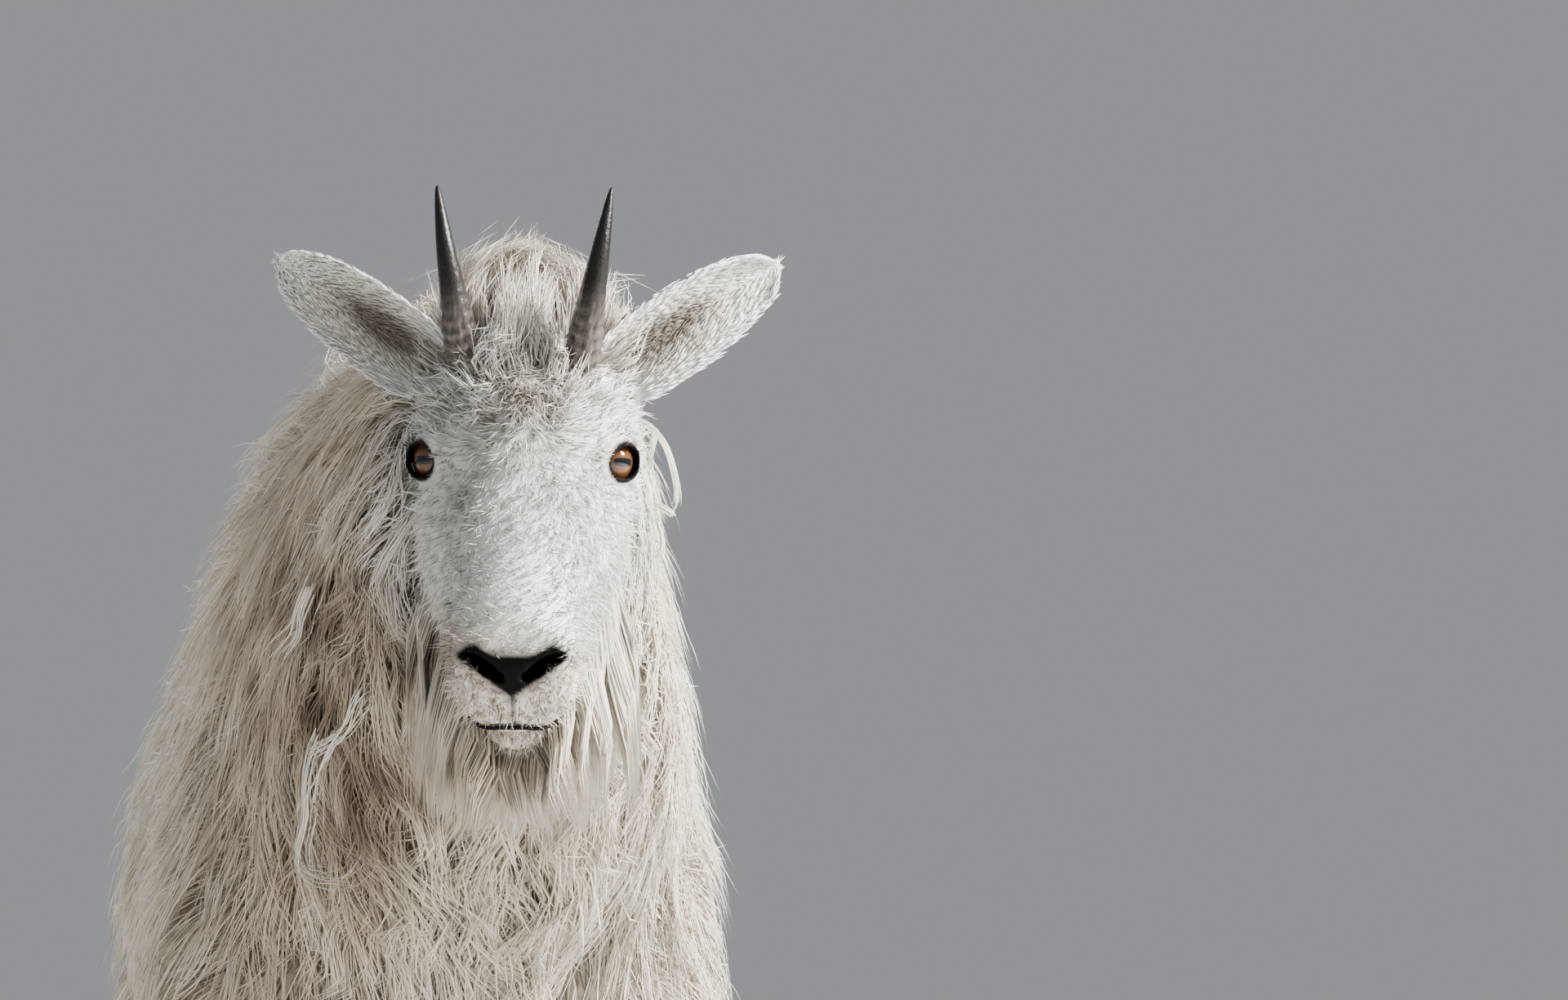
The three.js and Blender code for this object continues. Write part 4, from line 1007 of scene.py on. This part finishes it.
# Fur of the ears: short behind and on the rims, long pale hair out of the cup with a sooty streak near the
# root. Each hair is one straight strand that leans towards the tip and bows off the skin by a sine.
for label, mirror in SIDES:
    count = int(5000 * LOCK_SHARE)
    t, u = rng.beta(1.2, 1.1, count) * 0.97, rng.uniform(-1, 1, count)
    inside = rng.random(count) < 0.45
    depth = np.where(inside, -0.0002, 0.0043)
    root = ear_point(t, u, depth, mirror)
    onward = ear_point(np.minimum(t + 0.12, 1), u * 0.95, depth, mirror) - root
    outward_way = unit(ear_point(t, u, depth - 0.003, mirror) - root) * np.where(inside, 1, -1)[:, None]
    rim = ramp(np.abs(u), 0.6, 1.0)
    right, left = (ear_point(t, np.clip(u + step, -1, 1), depth, mirror) for step in (0.1, -0.1))
    across = unit(right - left) * np.sign(u)[:, None]
    long = np.where(inside, 0.0105, 0.0080) * rng.uniform(0.7, 1.2, count)
    lean = (0.55 * rim - 0.35 * inside * (1 - rim))[:, None]
    way = unit(unit(onward) * 1.5 + across * lean + rng.normal(0, 0.07, (count, 3)))
    s = np.linspace(0, 1, 3)[:, None, None]
    path = root[None] + way[None] * long[None, :, None] * s
    path = path + outward_way[None] * (0.0014 * np.sin(s * 2.4) - 0.0012 * (s == 0))
    streak = bell((t - 0.28) / 0.28, u / 0.48) * inside
    tone = blend(CREAM, WHITE, 0.4 + 0.6 * rim)
    tone = blend(tone, DIRT_AND_SHADE * 0.6, np.minimum(1.3 * streak, 0.9))
    # painted shade: each hair darker at its root than at its tip
    tint = np.clip(tone[None] * (0.8 + 0.3 * s) * (1 + rng.normal(0, 0.08, count))[None, :, None], 0.01, 0.86)
    strands(f"ear_fur_{label}", path, outward_way, rng.uniform(0.00035, 0.0008, count), tint)


# Shed wool: loose curled wisps of underwool that hang from the neck or lie on the chest, each a few fibres
# along one line. WISPS are side, along and up in mm; DRAPED are side and up, laid on top of the coat.
WISPS = [
    [(98, -385, 793), (109, -390, 787), (117, -395, 775), (122, -400, 756), (123, -400, 743), (119, -400, 736)],
    [(120, -400, 736), (113, -400, 740), (106, -395, 741), (97, -385, 739)],
    [(111, -385, 784), (108, -390, 772), (109, -390, 757), (112, -390, 750)],
    [(98, -385, 735), (104, -390, 730), (106, -390, 722), (102, -390, 717)],
    [(110, -390, 734), (114, -395, 722), (112, -395, 713), (102, -385, 714)],
    [(111, -360, 702), (118, -365, 696), (123, -365, 689)],
]
DRAPED = [
    [(-81, 610), (-86, 596), (-87, 578), (-86, 565), (-89, 549), (-87, 537), (-77, 530), (-63, 528),
     (-54, 538), (-50, 551)],
    [(-71, 610), (-79, 594), (-83, 578), (-86, 565)],
    [(-87, 696), (-92, 682), (-94, 670), (-101, 661), (-107, 651)],
    [(-84, 602), (-68, 612), (-60, 629), (-52, 639)],
]
FIBRES, FIBRE_STEPS = 13, 12
COAT_TOP = 0.033  # off the skin


def draped(line):
    """Points of a DRAPED line, each at the first place from in front where the coat's top is met."""
    line = np.array(line) * MM
    depth = np.linspace(-0.60, -0.05, 111)
    grid = np.stack(np.broadcast_arrays(line[:, None, 0], depth[None], line[:, None, 1]), -1)
    height = field(grid.reshape(-1, 3)).reshape(grid.shape[:2])
    met = height < COAT_TOP
    first = np.where(met.any(1), met.argmax(1), height.argmin(1))
    return grid[np.arange(len(line)), first]


paths = []
for line, loose in [(np.array(row) * MM, 0.6) for row in WISPS] + [(draped(row), 1.7) for row in DRAPED]:
    for _ in range(FIBRES):
        bent = curve(line, np.linspace(0, rng.uniform(0.75, 1), FIBRE_STEPS)) + rng.normal(0, 0.0015, 3) * loose
        bent = bent + rng.normal(0, 0.0024, 3) * loose * np.linspace(0, 1, FIBRE_STEPS)[:, None] ** 2
        paths.append(bent)
path = np.stack(paths, 1)
count = path.shape[1]
wool = np.tile(CREAM * 1.03, (FIBRE_STEPS, 1, 1)) * rng.uniform(0.85, 1.05, (1, count, 1))
normal = np.tile((0.0, -1.0, 0.2), (count, 1))
strands("shed_wool", path, normal, rng.uniform(0.0003, 0.0006, count), wool)


# Eyes: glass balls with an amber iris and a level slot of a pupil, as a museum sets them. Each is a closed
# ball with a slight bulge in front; its colours go by the distance from the axis it looks along.
def ball(rows, ring, pole=0.0):
    """Points of a unit ball in rings from one pole to the other, and the quads between them."""
    a, b = np.meshgrid(np.linspace(pole, np.pi - pole, rows), np.arange(ring) / ring * 2 * np.pi, indexing="ij")
    points = np.stack([np.sin(a) * np.cos(b), np.sin(a) * np.sin(b), np.cos(a)], -1)
    return points.reshape(-1, 3), ring_quads(rows, ring)


EYE = material("eye", 0.14, 0.3, coat=0.45)
for label, mirror in SIDES:
    centre, along, up, axis = eye_axes(mirror)
    d, quads = ball(97, 128)
    bulge = 1 + 0.02 * bell(np.arccos(np.clip(d[:, 2], -1, 1)) / 0.5)
    world = from_head(centre + (d * bulge[:, None] * EYE_R) @ np.stack([along, up, axis]))
    radius = np.hypot(d[:, 0], d[:, 1])
    fibres = 1 + 0.25 * np.sin(np.arctan2(d[:, 1], d[:, 0]) * 46) * (radius < 0.8)
    tint = np.array((0.105, 0.040, 0.014)) * fibres[:, None] * (1.15 - 0.55 * ramp(radius, 0.3, 0.74))[:, None]
    tint = blend(tint, SOOT * 0.6, ramp(radius, 0.70, 0.80))
    pupil = 1 - ramp((np.abs(d[:, 0]) / 0.46) ** 4 + (np.abs(d[:, 1]) / 0.17) ** 4, 0.8, 1.25)
    tint = blend(tint, np.array((0.004, 0.005, 0.008)), pupil * (d[:, 2] > 0))
    eye = new_object(f"eyeball_{label}", world, outward(world, quads), EYE, np.clip(tint, 0.002, 1))
    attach(eye, "root")
    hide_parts(f"eye_{label}")


# Lashes: a row of single dark hairs along each upper lid. They are rooted on the lid's outline, fan out to
# both sides and bend up towards their tips.
LASHES, LASH_STEPS = 60, 5
for label, mirror in SIDES:
    centre, along, up, axis = eye_axes(mirror)
    a = rng.uniform(-0.0105, 0.0105, LASHES)
    b = LID_HIGH * (1 - (np.abs(a) / LID_WIDE) ** LID_POWERS[0]) ** (1 / LID_POWERS[1]) + 0.0006
    c = np.sqrt(np.maximum((LID_R + 0.0005) ** 2 - a * a - b * b, 0))
    root = centre + along * a[:, None] + up * b[:, None] + axis * c[:, None]
    way = unit(up * 0.35 + axis + along * (a * 45)[:, None] + rng.normal(0, 0.10, (LASHES, 3)))
    s = np.linspace(0, 1, LASH_STEPS)[:, None, None]
    long = rng.uniform(0.005, 0.010, LASHES)[None, :, None]
    path = from_head(root[None] + way[None] * long * s + (up * 0.45 * (s - 0.7) * s) * long)
    normal, tint = np.tile(head_way(up), (LASHES, 1)), np.tile(SOOT, (LASH_STEPS, LASHES, 1))
    strands(f"lashes_{label}", path, normal, np.full(LASHES, 0.00028), tint)


# Horns: slim sheaths of horn, curved back, rough and ringed at the base, smooth and black above. Each is a
# tube about one line; its radius falls by a power of what is left to the tip, with sines for the rings.
HORN_ROWS, HORN_RING = 120, 48
HORN = material("horn", 0.36, 0.24, coat=0.05, bump=(420, 0.0005, (1, 1, 1)))
for label, mirror in SIDES:
    turn = np.arange(HORN_RING) / HORN_RING * 2 * np.pi
    t, b = np.meshgrid(np.linspace(0, 1, HORN_ROWS), turn, indexing="ij")
    line = HORN_LINE * (mirror, 1, 1)
    tangent = unit(curve(line, np.minimum(t + 0.01, 1)) - curve(line, np.maximum(t - 0.01, 0)))
    side = unit(np.cross(tangent, (0, 1, 0)))
    out = np.cross(side, tangent)
    base = 1 - ramp(t, 0.35, 0.62)
    ringed = 0.0006 * np.sin(t * 105 + 0.5 * np.sin(b * 2)) + 0.0004 * np.sin(b * 9 + t * 14)
    ringed = base * (ringed + 0.0003 * np.sin(b * 17 - t * 40))
    radius = HORN_R * (1 - t) ** 0.62 * (1 - 0.12 * t) + 0.0005 + ringed
    points = curve(line, t) + side * (radius * np.cos(b))[..., None] + out * (radius * 1.12 * np.sin(b))[..., None]
    world, tris = tube(from_head(points), from_head(line[[0, -1]]))
    grey = np.array((0.15, 0.13, 0.115))
    # painted shade of the rings at the base: darker in their grooves, lighter on their ridges; the mottling is the
    # horn's own
    ring_shade_and_mottle = np.r_[(0.75 + 350 * ringed).ravel(), 1, 1] * (1 + 0.55 * waves(world, 0.006, 61))
    pale = np.r_[base.ravel(), 1, 0] * 0.85
    tint = SOOT * 0.5 + (grey - SOOT) * pale[:, None] * np.clip(ring_shade_and_mottle, 0.3, 1.3)[:, None]
    horn = new_object(f"horn_sheath_{label}", world, tris, HORN, tint)
    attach(horn, "root")
    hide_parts(f"horn_{label}")


# Hooves: two toes each, of dark horn, worn flat below and parted by a narrow cleft. A toe is a tube of
# rounded rings about the leg's own section at the coronet, spread by its row of TOE.
# Rows of TOE: height, shift forward, and what is added to half width, length in front and length behind
TOE = [
    (0.0, 0.008, 0.007, 0.012, 0.005), (0.003, 0.0078, 0.0072, 0.0118, 0.005),
    (0.008, 0.007, 0.006, 0.010, 0.0045), (0.024, 0.003, 0.003, 0.005, 0.003),
    (0.046, -0.001, -0.001, -0.001, -0.001),
]
TOE_RING, CLAWS_APART = 24, 0.012
HOOF = material("hoof", 0.50, 0.18, bump=(260, 0.0006, (1, 1, 3)))
for name, leg in legs.items():
    side, up, wide, high, deep, _ = (float(v[0]) for v in leg.section(np.array([CORONET_Z])))
    angle = np.arange(TOE_RING) / TOE_RING * 2 * np.pi
    c, s = np.cos(angle), np.sin(angle)
    points, tris = [], []
    for toe in (-1, 1):
        rows = []
        for z, forward, w, f, b in TOE:
            gap = 0.0012 + 0.0024 * (1 - z / TOE[-1][0])
            across = toe * gap + toe * (wide + w - gap) * (0.5 + 0.5 * np.sign(c) * np.abs(c) ** 0.8)
            along = up + forward + np.where(s > 0, high + f, deep + b) * np.sign(s) * np.abs(s) ** 0.9
            rows.append(np.c_[side + across, -along, np.full(TOE_RING, z)])
        made, faces = tube(np.stack(rows), [rows[0].mean(0), rows[-1].mean(0)])
        tris.append(faces + len(made) * len(points))
        points.append(made)
    world = np.vstack(points)
    tint = SOOT * 1.1 * (1 + 0.5 * waves(world, 0.02, 4))[:, None]
    hoof = new_object(f"toes_{name}", world, np.vstack(tris), HOOF, np.clip(tint, 0.01, 1))
    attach(hoof, "root")
    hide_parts(f"hoof_{name}")

    # Dewclaws: two blunt claws of the same horn behind the pastern. Each is a ball drawn out to the claw's
    # size, a little narrower towards its lower end.
    side, up, _, _, deep, _ = (float(v[0]) for v in leg.section(np.array([DEWCLAW_Z])))
    shape, quads = ball(14, 18, 0.02)
    shape[:, 0] *= 0.85 + 0.15 * shape[:, 2]
    shape = shape * DEWCLAW
    points = np.vstack([shape + (side + way * CLAWS_APART, deep - up, DEWCLAW_Z) for way in (-1, 1)])
    quads = np.vstack([quads, quads + len(shape)])
    claw = new_object(f"dewclaws_{name}", points, quads, HOOF, np.tile(SOOT, (len(points), 1)))
    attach(claw, "root")
    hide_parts(f"dewclaw_{name}_in", f"dewclaw_{name}_out")


# Floor, light and the photo's view. The animal stands on a plain floor under one hard light from the
# photo's right, a weak fill and a light from behind; the camera looks a little upwards from in front.
EDGE = 60
mesh = bpy.data.meshes.new("floor")
mesh.from_pydata([(-EDGE, -EDGE, 0), (EDGE, -EDGE, 0), (EDGE, EDGE, 0), (-EDGE, EDGE, 0)], [], [(0, 1, 2, 3)])
mesh.materials.append(material("floor", 0.9, 0.2, colour=(0.62, 0.62, 0.60)))
floor = link("floor", mesh)
AIM = Vector((0.18, -0.47, 0.74)) + Vector(SHIFT)


def lamp(name, at, size, power, colour):
    """Square light, placed from the floor below AIM and turned towards the chest."""
    light = bpy.data.lights.new(name, "AREA")
    light.size, light.energy, light.color = size, power, colour
    made = link(name, light)
    made.location = Vector(at) + Vector((AIM.x, AIM.y, 0))
    made.rotation_euler = (Vector((AIM.x, AIM.y, 0.5)) - made.location).to_track_quat("-Z", "Y").to_euler()


lamp("key", (3.3, -0.8, 2.8), 0.9, 1050, (1.0, 0.97, 0.92))
lamp("fill", (-3.2, -3.0, 2.2), 3.0, 8, (0.90, 0.95, 1.0))
lamp("back", (-1.0, 4.0, 3.0), 2.5, 150, (0.95, 0.97, 1.0))
world = bpy.data.worlds.new("studio")
world.use_nodes = True
world.node_tree.nodes["Background"].inputs["Color"].default_value = (0.86, 0.90, 0.95, 1)
world.node_tree.nodes["Background"].inputs["Strength"].default_value = 0.36
bpy.context.scene.world = world

AZIMUTH, ELEVATION, AWAY = math.radians(-4), math.radians(-3.5), 8.0
SENSOR, VIEW_WIDE = 36, 0.902  # mm, and the width in metres that the view takes in at AIM
camera = bpy.data.cameras.new("camera")
camera.sensor_width, camera.lens, camera.clip_end = SENSOR, SENSOR * AWAY / VIEW_WIDE, 200
eye = link("camera", camera)
level = math.cos(ELEVATION)
back = Vector((math.sin(AZIMUTH) * level, -math.cos(AZIMUTH) * level, math.sin(ELEVATION)))
eye.location = AIM + back * AWAY
eye.rotation_euler = (-back).to_track_quat("-Z", "Y").to_euler()
bpy.context.scene.camera = eye
